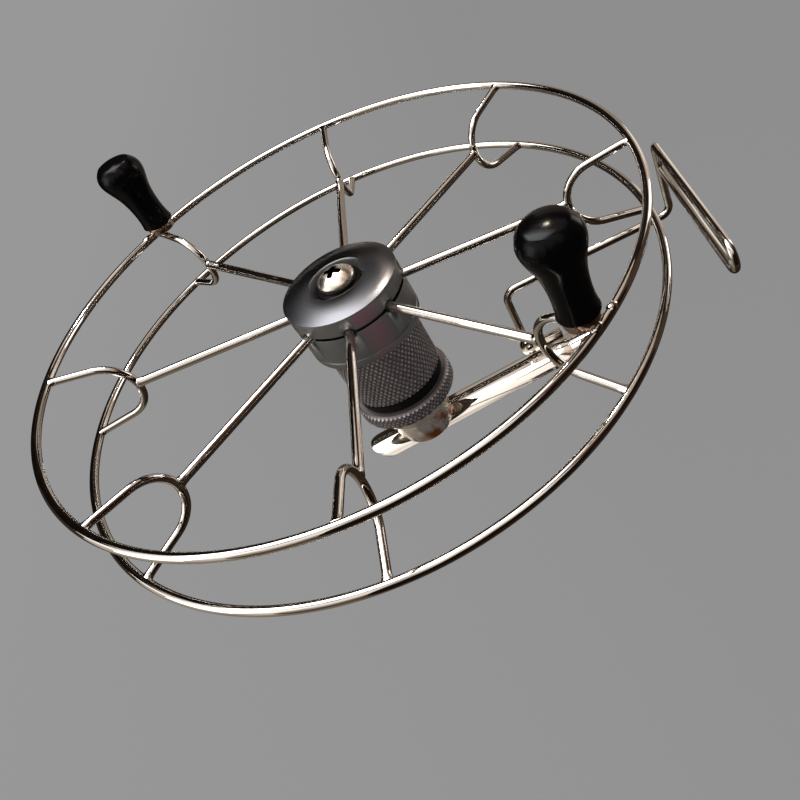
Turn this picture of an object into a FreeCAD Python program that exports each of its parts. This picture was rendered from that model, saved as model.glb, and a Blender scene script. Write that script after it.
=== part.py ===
"""Raft fishing reel: an open wire spool on a two-bearing hub, with a rod foot and a wire hand brake.

Frame: millimetres, +Z up along the spindle, X along the rod, origin on the rod's axis under the spindle.
"""
import FreeCAD, Part
import math
import os
import Sketcher

Vector = FreeCAD.Vector
Placement = FreeCAD.Placement
Rotation = FreeCAD.Rotation

UP = Vector(0, 0, 1)
ALONG_ROD = Vector(1, 0, 0)
NO_TURN = Rotation()

# Driving dimensions in millimetres and degrees: alias, value, meaning
DRIVING = [
    ("ring_radius", 79.0, "rim ring, centre line"),
    ("ring_wire", 2.2, "rim ring wire diameter"),
    ("ring_spacing", 20.8, "between the two ring centre lines"),
    ("wire_count", 8, "spokes, and as many hoops"),
    ("wheel_turn", -9.19, "direction of the first spoke"),
    ("hoop_wire", 2.0, "hoop wire diameter"),
    ("hoop_1_depth", 18.7, "how far hoop 1 reaches in from the rim, each bent by hand"),
    ("hoop_2_depth", 18.7, "how far hoop 2 reaches in from the rim, each bent by hand"),
    ("hoop_3_depth", 18.7, "how far hoop 3 reaches in from the rim, each bent by hand"),
    ("hoop_4_depth", 16.7, "how far hoop 4 reaches in from the rim, each bent by hand"),
    ("hoop_5_depth", 18.7, "how far hoop 5 reaches in from the rim, each bent by hand"),
    ("hoop_6_depth", 18.7, "how far hoop 6 reaches in from the rim, each bent by hand"),
    ("hoop_7_depth", 18.7, "how far hoop 7 reaches in from the rim, each bent by hand"),
    ("hoop_8_depth", 18.7, "how far hoop 8 reaches in from the rim, each bent by hand"),
    ("hoop_flare", 9.0, "angle of a hoop leg to the spoke plane"),
    ("weld_depth", 0.4, "how far a welded wire end sinks in"),
    ("spoke_wire", 2.4, "spoke diameter"),
    ("spoke_inner", 10.0, "inner end of a spoke"),
    ("slip", 0.05, "radial clearance of a running or sliding fit"),
    ("close_fit", 0.025, "clearance of a fixed fit"),
    ("seat_gap", 0.3, "gap between faces that turn past each other"),
    ("free_gap", 0.2, "gap between faces that must not touch"),
    ("overrun", 1.0, "how far a slot or bore runs past what it is for"),
    ("cap_radius", 15.5, "hub cap"),
    ("cap_side", 4.3, "height of the cap's side"),
    ("cap_cone", 1.5, "rise of the cap's face to its recess"),
    ("cap_recess", 7.4, "radius of the cap's recess"),
    ("parting", 0.5, "cap's underside above the spoke plane"),
    ("hub_radius", 15.4, "hub body"),
    ("hub_depth", 11.9, "hub body below the cap"),
    ("hub_bevel", 0.7, "bevel at the hub body's lower edge"),
    ("sleeve_wall", 1.55, "wall of the hub sleeve round the bearings"),
    ("seat_step", 1.4, "step that a bearing seats against"),
    ("bearing_outer", 8.0, "bearing outside radius"),
    ("bearing_slip", 0.02, "clearance of the bearings on the spindle"),
    ("bearing_width", 5.0, "bearing width"),
    ("bearing_rise", 1.5, "front bearing above the hub body"),
    ("race_step_out", 0.95, "outer race's lip beyond the circle of balls"),
    ("race_step_in", 0.85, "inner race's lip within the circle of balls"),
    ("ball_share", 0.2975, "ball radius as a share of the room in the bearing"),
    ("ball_count", 9, "balls in one bearing"),
    ("shield", 0.25, "shield thickness"),
    ("clip_width", 0.8, "retaining ring thickness"),
    ("clip_depth", 0.45, "depth of the retaining ring's groove"),
    ("clip_lap", 0.8, "retaining ring's reach over the bearing"),
    ("clip_opening", 4.0, "opening of the retaining ring"),
    ("barrel_radius", 13.05, "knurled drag barrel"),
    ("barrel_length", 17.3, "knurled drag barrel"),
    ("friction_radius", 12.4, "black friction ring"),
    ("friction_height", 3.0, "black friction ring"),
    ("tension_radius", 14.4, "knurled tension ring"),
    ("tension_height", 4.3, "knurled tension ring"),
    ("tension_bevel", 0.9, "bevel of the tension ring's upper edge"),
    ("spring_room", 0.5, "room round the springs in the tension ring's pocket"),
    ("spring_pocket_depth", 1.8, "depth of that pocket"),
    ("spring_outer", 8.7, "disc spring outside radius"),
    ("spring_plate", 0.5, "disc spring thickness"),
    ("spring_cone", 0.35, "disc spring cone height"),
    ("collar_radius", 10.8, "steel collar under the tension ring"),
    ("collar_height", 4.8, "steel collar"),
    ("lock_washer_radius", 8.2, "split lock washer"),
    ("lock_washer_height", 1.0, "split lock washer"),
    ("lock_washer_split", 1.0, "split of the lock washer"),
    ("spacer_step", 0.15, "bearing spacer inside the inner races' edge"),
    ("spindle_thick", 5.0, "spindle radius below the rear bearing"),
    ("spindle_thin", 4.0, "spindle radius through the bearings"),
    ("spigot_radius", 4.4, "spindle end in the foot"),
    ("spigot_length", 5.7, "spindle end in the foot"),
    ("screw_shank", 2.5, "cap screw shank radius"),
    ("screw_length", 14.0, "cap screw below its head"),
    ("screw_head", 5.0, "cap screw head radius"),
    ("screw_head_side", 1.5, "straight side of the screw head"),
    ("screw_head_dome", 2.3, "dome of the screw head"),
    ("cross_length", 5.4, "cross recess of the screw"),
    ("cross_width", 1.1, "cross recess of the screw"),
    ("cross_depth", 2.2, "cross recess of the screw"),
    ("cap_bush_height", 2.0, "bush on the front bearing"),
    ("cap_washer_lap", 1.1, "washer under the cap screw, beyond the bush"),
    ("cap_washer_height", 1.0, "washer under the cap screw"),
    ("rod_radius", 7.0, "inside of the foot's gutter"),
    ("foot_sheet", 1.0, "foot sheet thickness"),
    ("foot_half_width", 5.8, "half the width of the foot"),
    ("foot_short_end", 17.8, "short tongue's end from the spindle"),
    ("foot_long_end", 56.0, "long tongue's end from the spindle"),
    ("boss_radius", 8.8, "foot boss"),
    ("boss_foot_radius", 7.7, "foot boss where it meets the tongues"),
    ("boss_rise", 6.8, "top of the boss above the tongues"),
    ("boss_waist_rise", 2.6, "above the tongues where the boss starts to narrow"),
    ("boss_drop", 2.0, "underside of the boss below the tongues' ridge"),
    ("lever_wire", 2.2, "brake wire diameter"),
    ("pivot_reach", 3.4, "brake pivot inward of the saddle"),
    ("pivot_rise", 1.9, "brake pivot above the tongue"),
    ("riser_across", 7.0, "brake wire's lower riser, across the rod"),
    ("hook_end", 2.4, "end of the brake wire's hook, across the rod"),
    ("hook_bend", 1.7, "bend of the hook"),
    ("arm_drop", 17.8, "brake arm below the rear ring"),
    ("arm_reach", 10.6, "brake arm's outer corner beyond the rings"),
    ("arm_end_across", 4.1, "brake arm's outer corner across the rod"),
    ("riser_length", 23.0, "thumb loop's upper wire above the arm"),
    ("loop_length", 51.82, "thumb loop"),
    ("loop_heading", -98.88, "direction of the thumb loop, from along the rod"),
    ("loop_pitch", 6.8, "between the thumb loop's two wires"),
    ("loop_end_gap", 0.3, "gap between the loop's free end and the riser"),
    ("arm_bend", 4.0, "first bend of the brake wire"),
    ("riser_bend", 3.0, "second bend of the brake wire"),
    ("loop_bend", 1.8, "third bend of the brake wire"),
    ("ear_wall", 1.35, "round end of the brake ear, beyond its hole"),
    ("ear_inner", 3.2, "ear's inner face across the rod"),
    ("ear_outer", 5.3, "ear's outer face across the rod"),
    ("saddle_sheet", 0.9, "brake saddle thickness"),
    ("saddle_length", 7.2, "saddle along the rod"),
    ("saddle_inset", 8.4, "saddle inward of the long tongue's end"),
    ("knob_a_inset", 3.8, "knob A's axis inward of the front ring"),
    ("knob_b_inset", 2.2, "knob B's axis inward of the front ring"),
    ("knob_a_shift", 1.6, "knob A beside its spoke"),
    ("knob_b_shift", 1.1, "knob B beside its spoke"),
    ("knob_a_spoke", -1, "spoke that knob A stands at"),
    ("knob_b_spoke", 3, "spoke that knob B stands at"),
    ("lug_radius", 3.8, "knob lug"),
    ("lug_height", 2.3, "knob lug"),
    ("lug_sink", 0.32, "how far a knob lug sinks into the front ring"),
    ("axle_radius", 1.5, "knob axle"),
    ("knob_length", 22.2, "knob"),
    ("knob_roof", 3.2, "knob above its bore"),
    ("knob_foot", 4.6, "knob radius near its foot"),
    ("knob_neck", 4.2, "knob radius at its neck"),
    ("knob_belly", 6.55, "knob's largest radius"),
    ("knob_crown", 4.6, "knob radius at the edge of its crown"),
    ("knob_crown_rise", 0.8, "height of the crown"),
    ("knob_neck_share", 0.3, "height of the neck, as a share of the knob"),
    ("knob_swell_share", 0.56, "height half way from neck to belly, as a share"),
    ("knob_belly_share", 0.8, "height of the belly, as a share"),
    ("knob_swell_tuck", 0.2, "swell inside the mean of neck and belly"),
]

# Derived heights and radii, worked out by the sheet: alias, formula, meaning
DERIVED = [
    ("foot_outer", "=rod_radius + foot_sheet", "outside of the foot's gutter"),
    ("boss_top", "=foot_outer + boss_rise", "top of the boss"),
    ("boss_waist", "=foot_outer + boss_waist_rise", "where the boss starts to narrow"),
    ("boss_base", "=foot_outer - boss_drop", "underside of the boss beside the tongues"),
    ("tension_stack", "=collar_height + tension_height + friction_height", "rings below the barrel"),
    ("barrel_bottom_z", "=boss_top + lock_washer_height + tension_stack + 2 * free_gap + 2 * seat_gap",
     "drag barrel"),
    ("barrel_top_z", "=barrel_bottom_z + barrel_length", "drag barrel"),
    ("hub_bottom_z", "=barrel_top_z + seat_gap", "hub body's lower face"),
    ("cap_under_z", "=hub_bottom_z + hub_depth", "cap meets hub body"),
    ("wheel_height", "=cap_under_z - parting", "spoke plane above the rod axis"),
    ("front_ring_z", "=wheel_height + ring_spacing / 2", "front ring, the one with the knobs"),
    ("rear_ring_z", "=wheel_height - ring_spacing / 2", "rear ring"),
    ("cap_edge_z", "=cap_under_z + cap_side", "cap's outer top edge"),
    ("cap_rim_z", "=cap_edge_z + cap_cone", "rim of the cap's recess"),
    ("front_bearing_top", "=cap_under_z + bearing_rise", "front bearing"),
    ("front_bearing_z", "=front_bearing_top - bearing_width", "front bearing"),
    ("bearing_seat", "=bearing_outer + slip", "seat radius in the hub"),
    ("cap_pocket_z", "=front_bearing_top + slip", "cap's pocket over the front bearing"),
    ("hub_bevel_z", "=hub_bottom_z + hub_bevel", "hub body's bevel"),
    ("hub_bevel_radius", "=hub_radius - hub_bevel", "hub body's bevel"),
    ("sleeve_radius", "=bearing_seat + sleeve_wall", "hub sleeve inside the knurled barrel"),
    ("sleeve_wall_bore", "=bearing_outer - seat_step", "bore between the two bearing seats"),
    ("barrel_bore", "=sleeve_radius + slip", "drag barrel"),
    ("friction_top_z", "=barrel_bottom_z - seat_gap", "friction ring"),
    ("friction_bottom_z", "=friction_top_z - friction_height", "friction ring"),
    ("sleeve_bottom_z", "=barrel_bottom_z + seat_gap", "hub sleeve's lower end"),
    ("clip_z", "=sleeve_bottom_z + free_gap", "retaining ring's groove"),
    ("clip_top_z", "=clip_z + clip_width", "retaining ring's groove"),
    ("clip_groove", "=bearing_seat + clip_depth", "retaining ring's groove"),
    ("rear_bearing_z", "=clip_top_z + slip", "rear bearing"),
    ("rear_bearing_top", "=rear_bearing_z + bearing_width", "rear bearing"),
    ("thick_radius", "=spindle_thick + slip", "bore on the thick spindle"),
    ("spacer_bore", "=spindle_thin + slip", "bearing spacer"),
    ("bearing_bore", "=spindle_thin + bearing_slip", "bearing bore radius"),
    ("ball_track", "=(bearing_outer + spindle_thin) / 2", "radius of the circle of balls"),
    ("ball_radius", "=(bearing_outer - spindle_thin) * ball_share", "ball"),
    ("race_outer", "=ball_track + race_step_out", "inside radius of the outer race"),
    ("race_inner", "=ball_track - race_step_in", "outside radius of the inner race"),
    ("spacer_outer", "=race_inner - spacer_step", "bearing spacer"),
    ("spacer_bottom_z", "=rear_bearing_top + slip", "bearing spacer"),
    ("spacer_top_z", "=front_bearing_z - slip", "bearing spacer"),
    ("clip_outer", "=clip_groove - slip", "retaining ring"),
    ("clip_inner", "=bearing_outer - clip_lap", "retaining ring"),
    ("clip_low_z", "=clip_z + close_fit", "retaining ring"),
    ("clip_high_z", "=clip_top_z - close_fit", "retaining ring"),
    ("tension_top_z", "=friction_bottom_z - free_gap", "tension ring"),
    ("tension_bottom_z", "=tension_top_z - tension_height", "tension ring"),
    ("tension_bevel_z", "=tension_top_z - tension_bevel", "tension ring"),
    ("tension_bevel_radius", "=tension_radius - tension_bevel", "tension ring"),
    ("tension_pocket_z", "=tension_top_z - spring_pocket_depth", "tension ring"),
    ("spring_pocket", "=spring_outer + spring_room", "tension ring"),
    ("spring_bore", "=spindle_thick + free_gap", "disc springs"),
    ("spring_1_out_low", "=tension_pocket_z + slip + spring_cone", "lower disc spring"),
    ("spring_1_in_low", "=tension_pocket_z + slip", "lower disc spring"),
    ("spring_1_out_high", "=spring_1_out_low + spring_plate", "lower disc spring"),
    ("spring_1_in_high", "=spring_1_in_low + spring_plate", "lower disc spring"),
    ("spring_2_out_low", "=spring_1_out_high + close_fit", "upper disc spring"),
    ("spring_2_in_low", "=spring_2_out_low + spring_cone", "upper disc spring"),
    ("spring_2_out_high", "=spring_2_out_low + spring_plate", "upper disc spring"),
    ("spring_2_in_high", "=spring_2_in_low + spring_plate", "upper disc spring"),
    ("collar_top_z", "=tension_bottom_z - seat_gap", "collar"),
    ("collar_bottom_z", "=collar_top_z - collar_height", "collar"),
    ("spindle_step_z", "=rear_bearing_z", "spindle's shoulder under the rear bearing"),
    ("spindle_top_z", "=front_bearing_top - free_gap", "spindle's upper end"),
    ("spindle_end_z", "=boss_top - spigot_length", "spindle's lower end"),
    ("lock_washer_z", "=boss_top", "lock washer"),
    ("lock_washer_top_z", "=boss_top + lock_washer_height", "lock washer"),
    ("boss_bore", "=spigot_radius + close_fit", "boss bore"),
    ("cap_bush_radius", "=race_inner - slip", "bush on the front bearing"),
    ("cap_washer_radius", "=cap_bush_radius + cap_washer_lap", "washer under the cap screw"),
    ("bush_top_z", "=front_bearing_top + cap_bush_height", "cap bush"),
    ("washer_top_z", "=bush_top_z + cap_washer_height", "cap washer"),
    ("screw_end_z", "=washer_top_z - screw_length", "cap screw"),
    ("screw_hole", "=screw_shank + slip", "threaded hole, drawn plain"),
    ("screw_hole_z", "=screw_end_z - overrun", "threaded hole's bottom"),
    ("head_side_z", "=washer_top_z + screw_head_side", "cap screw"),
    ("saddle_outer", "=foot_outer + slip + saddle_sheet", "outside of the brake saddle"),
    ("saddle_end", "=foot_long_end - saddle_inset", "saddle's outer edge"),
    ("saddle_start", "=saddle_end - saddle_length", "saddle's inner edge"),
    ("pivot_along", "=saddle_start - pivot_reach", "brake pivot along the rod"),
    ("pivot_height", "=foot_outer + pivot_rise", "brake pivot above the rod axis"),
    ("ear_radius", "=lever_wire / 2 + slip + ear_wall", "round end of the brake ear"),
    ("arm_height", "=rear_ring_z - arm_drop", "brake arm above the rod axis"),
    ("arm_end_along", "=ring_radius + arm_reach", "brake arm's outer corner along the rod"),
    ("loop_height", "=arm_height + riser_length", "thumb loop's upper wire above the rod axis"),
    ("lug_z", "=front_ring_z + ring_wire / 2 - lug_sink", "knob lug"),
    ("lug_top_z", "=lug_z + lug_height", "knob lug"),
    ("knob_z", "=lug_top_z + seat_gap", "knob's foot"),
    ("knob_top_z", "=knob_z + knob_length", "knob's top"),
    ("lug_bore", "=axle_radius + close_fit", "lug bore"),
    ("axle_bore", "=axle_radius + slip", "knob bore"),
    ("axle_top_z", "=lug_top_z + knob_length - knob_roof", "knob axle"),
    ("knob_a_track", "=ring_radius - knob_a_inset", "knob A's axis from the spindle"),
    ("knob_b_track", "=ring_radius - knob_b_inset", "knob B's axis from the spindle"),
    ("knob_bore_top_z", "=axle_top_z + seat_gap", "knob bore"),
]

doc = FreeCAD.newDocument("reel")
sheet = doc.addObject("Spreadsheet::Sheet", "Sizes")
parts = []


def fill_sheet():
    """Writes every size into the sheet, with its meaning beside it."""
    for row, (alias, content, meaning) in enumerate(DRIVING + DERIVED, start=1):
        sheet.set("A%d" % row, meaning)
        sheet.set("B%d" % row, str(content))
        sheet.setAlias("B%d" % row, alias)
    doc.recompute()


def size(alias):
    """The number that the sheet gives for an alias."""
    return float(sheet.get(alias))


def bind(thing, **formulas):
    """Binds properties of an object to formulas of the sheet's aliases."""
    for name, formula in formulas.items():
        thing.setExpression(name.replace("__", "."), formula)


def keep(thing, label):
    """Names a finished sub-part and puts it on the list of those to write."""
    thing.Label = label
    parts.append(thing)
    return thing


def plain(kind, **formulas):
    """A Part primitive whose sizes follow the sheet."""
    thing = doc.addObject("Part::" + kind, "form")
    bind(thing, **formulas)
    return thing


def cut(base, tool):
    """The first form without the second."""
    thing = doc.addObject("Part::Cut", "cut")
    thing.Base = base
    thing.Tool = tool
    return thing


def joined(kind, members):
    """Several forms as one: fused, in common, or kept as separate solids."""
    thing = doc.addObject("Part::" + kind, "joined")
    if kind == "Compound":
        thing.Links = members
    else:
        thing.Shapes = members
    return thing


def cylinder(radius, bottom, top):
    """An upright cylinder about the spindle, given by aliases."""
    return plain(
        "Cylinder",
        Radius="Sizes." + radius,
        Height="Sizes.%s - Sizes.%s" % (top, bottom),
        Placement__Base__z="Sizes." + bottom,
    )


def tube(outer, inner, bottom, top):
    """An upright tube about the spindle, given by aliases."""
    return cut(cylinder(outer, bottom, top), cylinder(inner, bottom, top))


def origin_plane(body, role):
    """One of a body's own origin planes or axes."""
    for feature in body.Origin.OriginFeatures:
        if feature.Role == role:
            return feature
    raise ValueError(role)


def profile(body, corners):
    """A closed half section of straight lines, each corner bound to a radius and a height."""
    sketch = body.newObject("Sketcher::SketchObject", "Section")
    sketch.AttachmentSupport = [(origin_plane(body, "XZ_Plane"), "")]
    sketch.MapMode = "FlatFace"
    places = []
    for radius, height in corners:
        places.append(Vector(0 if radius == "axis" else size(radius), size(height), 0))
    count = len(corners)
    for index in range(count):
        sketch.addGeometry(Part.LineSegment(places[index], places[(index + 1) % count]), False)
    for index in range(count):
        sketch.addConstraint(Sketcher.Constraint("Coincident", index, 2, (index + 1) % count, 1))
    for index, (radius, height) in enumerate(corners):
        if radius == "axis":
            sketch.addConstraint(Sketcher.Constraint("PointOnObject", index, 1, -2))
        else:
            number = sketch.addConstraint(
                Sketcher.Constraint("DistanceX", -1, 1, index, 1, places[index].x))
            sketch.setExpression("Constraints[%d]" % number, "Sizes." + radius)
        number = sketch.addConstraint(
            Sketcher.Constraint("DistanceY", -1, 1, index, 1, places[index].y))
        sketch.setExpression("Constraints[%d]" % number, "Sizes." + height)
    return sketch


def turned(name, corners):
    """A body turned about the spindle from a half section."""
    body = doc.addObject("PartDesign::Body", name)
    sketch = profile(body, corners)
    revolution = body.newObject("PartDesign::Revolution", "Turned")
    revolution.Profile = sketch
    revolution.ReferenceAxis = (sketch, ["V_Axis"])
    revolution.Angle = 360
    body.Tip = revolution
    return body


def add_spoke_slots(body):
    """Cuts the ring of radial slots that the spokes lie in."""
    sketch = body.newObject("Sketcher::SketchObject", "SlotSection")
    sketch.AttachmentSupport = [(origin_plane(body, "YZ_Plane"), "")]
    sketch.MapMode = "FlatFace"
    sketch.AttachmentOffset = Placement(Vector(0, 0, size("spoke_inner") - size("overrun")), NO_TURN)
    slot_radius = size("spoke_wire") / 2 + size("slip")
    sketch.addGeometry(Part.Circle(Vector(0, size("wheel_height"), 0), UP, slot_radius), False)
    sketch.addConstraint(Sketcher.Constraint("PointOnObject", 0, 3, -2))
    height = sketch.addConstraint(
        Sketcher.Constraint("DistanceY", -1, 1, 0, 3, size("wheel_height")))
    radius = sketch.addConstraint(Sketcher.Constraint("Radius", 0, slot_radius))
    sketch.setExpression("Constraints[%d]" % height, "Sizes.wheel_height")
    sketch.setExpression("Constraints[%d]" % radius, "Sizes.spoke_wire / 2 + Sizes.slip")
    slot = body.newObject("PartDesign::Pocket", "Slot")
    slot.Profile = sketch
    slot.Reversed = True
    bind(slot, Length="Sizes.cap_radius")
    pattern = body.newObject("PartDesign::PolarPattern", "Slots")
    pattern.Originals = [slot]
    pattern.Axis = (origin_plane(body, "Z_Axis"), [""])
    pattern.Angle = 360
    bind(pattern, Occurrences="Sizes.wire_count")
    body.Tip = pattern
    body.Placement = Placement(Vector(), Rotation(UP, size("wheel_turn")))


def spoke_direction(number):
    """Unit vector along a spoke, counted anticlockwise from above."""
    angle = math.radians(size("wheel_turn") + number * 360.0 / size("wire_count"))
    return Vector(math.cos(angle), math.sin(angle), 0)


def bent_path(points, radii):
    """Straight runs through the points, with each inner corner rounded by its radius."""
    edges = []
    start = points[0]
    for corner, after, radius in zip(points[1:-1], points[2:], radii):
        incoming = (corner - start).normalize()
        outgoing = (after - corner).normalize()
        turn = incoming.getAngle(outgoing)
        trim = radius * math.tan(turn / 2)
        arc_start = corner - incoming * trim
        arc_end = corner + outgoing * trim
        inward = (outgoing - incoming).normalize()
        arc_middle = corner + inward * (radius / math.cos(turn / 2) - radius)
        if (arc_start - start).Length > 1e-6:
            edges.append(Part.LineSegment(start, arc_start).toShape())
        edges.append(Part.Arc(arc_start, arc_middle, arc_end).toShape())
        start = arc_end
    edges.append(Part.LineSegment(start, points[-1]).toShape())
    return Part.Wire(edges)


def round_wire(name, path, diameter):
    """A solid round wire along a path, with its volume compared with section times length."""
    first = path.Edges[0]
    start = first.valueAt(first.FirstParameter)
    heading = first.tangentAt(first.FirstParameter)
    section = Part.Wire(Part.Circle(start, heading, diameter / 2).toShape())
    solid = path.makePipeShell([section], True, False)
    expected = math.pi * diameter ** 2 / 4 * path.Length
    print("%s: %.1f mm3, expected %.1f mm3" % (name, solid.Volume, expected))
    thing = doc.addObject("Part::Feature", name)
    thing.Shape = solid
    return thing


def build_rims():
    """The two rim rings."""
    for label, height in (("rim_front", "front_ring_z"), ("rim_rear", "rear_ring_z")):
        ring = plain(
            "Torus",
            Radius1="Sizes.ring_radius",
            Radius2="Sizes.ring_wire / 2",
            Placement__Base__z="Sizes." + height,
        )
        keep(ring, label)


def hoop_path(depth):
    """Centre line of a hoop in the XZ plane: two flared legs and the arc that joins them."""
    flare = math.radians(size("hoop_flare"))
    half = size("ring_spacing") / 2
    bottom = size("ring_radius") - depth
    reach = bottom + half * math.cos(flare) - size("ring_radius") * math.sin(flare)
    centre = reach / (1 - math.sin(flare))
    radius = centre - bottom
    held_back = size("ring_wire") / 2 - size("weld_depth")
    leg_end = Vector(size("ring_radius") - held_back * math.cos(flare), 0,
                     half - held_back * math.sin(flare))
    arc_end = Vector(centre - radius * math.sin(flare), 0, radius * math.cos(flare))
    lift = Vector(0, 0, size("wheel_height"))
    flipped_leg = Vector(leg_end.x, 0, -leg_end.z)
    flipped_arc = Vector(arc_end.x, 0, -arc_end.z)
    middle = Vector(bottom, 0, 0)
    return Part.Wire([
        Part.LineSegment(leg_end + lift, arc_end + lift).toShape(),
        Part.Arc(arc_end + lift, middle + lift, flipped_arc + lift).toShape(),
        Part.LineSegment(flipped_arc + lift, flipped_leg + lift).toShape(),
    ])


def build_hoops():
    """The hoops that bridge the rings, one at each spoke."""
    step = 360.0 / size("wire_count")
    for number in range(int(size("wire_count"))):
        path = hoop_path(size("hoop_%d_depth" % (number + 1)))
        hoop = round_wire("hoop_%d" % (number + 1), path, size("hoop_wire"))
        hoop.Placement = Placement(Vector(), Rotation(UP, size("wheel_turn") + number * step))
        keep(hoop, "hoop_%d" % (number + 1))


def build_spokes():
    """Straight spokes from the hub to the hoops."""
    welded = "Sizes.ring_radius - Sizes.hoop_%d_depth - Sizes.hoop_wire / 2 + Sizes.weld_depth"
    for number in range(int(size("wire_count"))):
        spoke = plain(
            "Cylinder",
            Radius="Sizes.spoke_wire / 2",
            Height=welded % (number + 1) + " - Sizes.spoke_inner",
        )
        direction = spoke_direction(number)
        start = direction * size("spoke_inner") + Vector(0, 0, size("wheel_height"))
        spoke.Placement = Placement(start, Rotation(UP, direction))
        keep(spoke, "spoke_%d" % (number + 1))


def build_hub():
    """The hub cap and the hub body, which clamp the spokes between them."""
    cap = turned("hub_cap", [
        ("bearing_seat", "cap_under_z"),
        ("cap_radius", "cap_under_z"),
        ("cap_radius", "cap_edge_z"),
        ("cap_recess", "cap_rim_z"),
        ("cap_recess", "cap_pocket_z"),
        ("bearing_seat", "cap_pocket_z"),
    ])
    add_spoke_slots(cap)
    keep(cap, "hub_cap")
    body = turned("hub_body", [
        ("bearing_seat", "cap_under_z"),
        ("hub_radius", "cap_under_z"),
        ("hub_radius", "hub_bevel_z"),
        ("hub_bevel_radius", "hub_bottom_z"),
        ("sleeve_radius", "hub_bottom_z"),
        ("sleeve_radius", "sleeve_bottom_z"),
        ("bearing_seat", "sleeve_bottom_z"),
        ("bearing_seat", "clip_z"),
        ("clip_groove", "clip_z"),
        ("clip_groove", "clip_top_z"),
        ("bearing_seat", "clip_top_z"),
        ("bearing_seat", "rear_bearing_top"),
        ("sleeve_wall_bore", "rear_bearing_top"),
        ("sleeve_wall_bore", "front_bearing_z"),
        ("bearing_seat", "front_bearing_z"),
    ])
    add_spoke_slots(body)
    keep(body, "hub_body")


def ball_groove(bottom):
    """The ring-shaped form that a ball track is cut with."""
    return plain(
        "Torus",
        Radius1="Sizes.ball_track",
        Radius2="Sizes.ball_radius + Sizes.slip",
        Placement__Base__z="Sizes.%s + Sizes.bearing_width / 2" % bottom,
    )


def build_bearing(side, bottom, top):
    """One ball bearing: two races, a ring of balls and two shields."""
    outer = cut(tube("bearing_outer", "race_outer", bottom, top), ball_groove(bottom))
    keep(outer, "bearing_%s_outer" % side)
    inner = cut(tube("race_inner", "bearing_bore", bottom, top), ball_groove(bottom))
    keep(inner, "bearing_%s_inner" % side)
    balls = []
    middle = size(bottom) + size("bearing_width") / 2
    for number in range(int(size("ball_count"))):
        ball = plain("Sphere", Radius="Sizes.ball_radius")
        angle = math.radians(number * 360.0 / size("ball_count"))
        track = size("ball_track")
        ball.Placement.Base = Vector(track * math.cos(angle), track * math.sin(angle), middle)
        balls.append(ball)
    keep(joined("Compound", balls), "bearing_%s_balls" % side)
    shields = []
    for formula in ("Sizes.%s + Sizes.shield" % bottom, "Sizes.%s - Sizes.shield * 2" % top):
        plate = plain("Cylinder", Radius="Sizes.race_outer - Sizes.close_fit", Height="Sizes.shield",
                      Placement__Base__z=formula)
        hole = plain("Cylinder", Radius="Sizes.race_inner + Sizes.free_gap", Height="Sizes.shield",
                     Placement__Base__z=formula)
        shields.append(cut(plate, hole))
    keep(joined("Compound", shields), "bearing_%s_shields" % side)


def build_bearing_fittings():
    """The spacer between the inner races and the ring that holds the rear bearing in the hub."""
    spacer = turned("bearing_spacer", [
        ("spacer_bore", "spacer_bottom_z"),
        ("spacer_outer", "spacer_bottom_z"),
        ("spacer_outer", "spacer_top_z"),
        ("spacer_bore", "spacer_top_z"),
    ])
    keep(spacer, "bearing_spacer")
    ring = tube("clip_outer", "clip_inner", "clip_low_z", "clip_high_z")
    gap = plain("Box", Length="Sizes.clip_groove", Width="Sizes.clip_opening",
                Height="Sizes.clip_width", Placement__Base__y="-Sizes.clip_opening / 2",
                Placement__Base__z="Sizes.clip_z")
    keep(cut(ring, gap), "retaining_ring")


def build_drag():
    """The knurled barrel, the friction ring, the disc springs and the knurled tension ring."""
    barrel = turned("drag_barrel", [
        ("barrel_bore", "barrel_bottom_z"),
        ("barrel_radius", "barrel_bottom_z"),
        ("barrel_radius", "barrel_top_z"),
        ("barrel_bore", "barrel_top_z"),
    ])
    keep(barrel, "drag_barrel")
    friction = turned("friction_ring", [
        ("thick_radius", "friction_bottom_z"),
        ("friction_radius", "friction_bottom_z"),
        ("friction_radius", "friction_top_z"),
        ("thick_radius", "friction_top_z"),
    ])
    keep(friction, "friction_ring")
    tension = turned("tension_ring", [
        ("thick_radius", "tension_bottom_z"),
        ("tension_radius", "tension_bottom_z"),
        ("tension_radius", "tension_bevel_z"),
        ("tension_bevel_radius", "tension_top_z"),
        ("spring_pocket", "tension_top_z"),
        ("spring_pocket", "tension_pocket_z"),
        ("thick_radius", "tension_pocket_z"),
    ])
    keep(tension, "tension_ring")
    springs = []
    for number in range(2):
        springs.append(disc_spring(number))
    keep(joined("Compound", springs), "disc_springs")


def disc_spring(number):
    """A coned washer: the lower one opens upward and the upper one downward."""
    rise = "spring_%d" % (number + 1)
    return turned(rise, [
        ("spring_bore", rise + "_in_low"),
        ("spring_outer", rise + "_out_low"),
        ("spring_outer", rise + "_out_high"),
        ("spring_bore", rise + "_in_high"),
    ])


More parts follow.
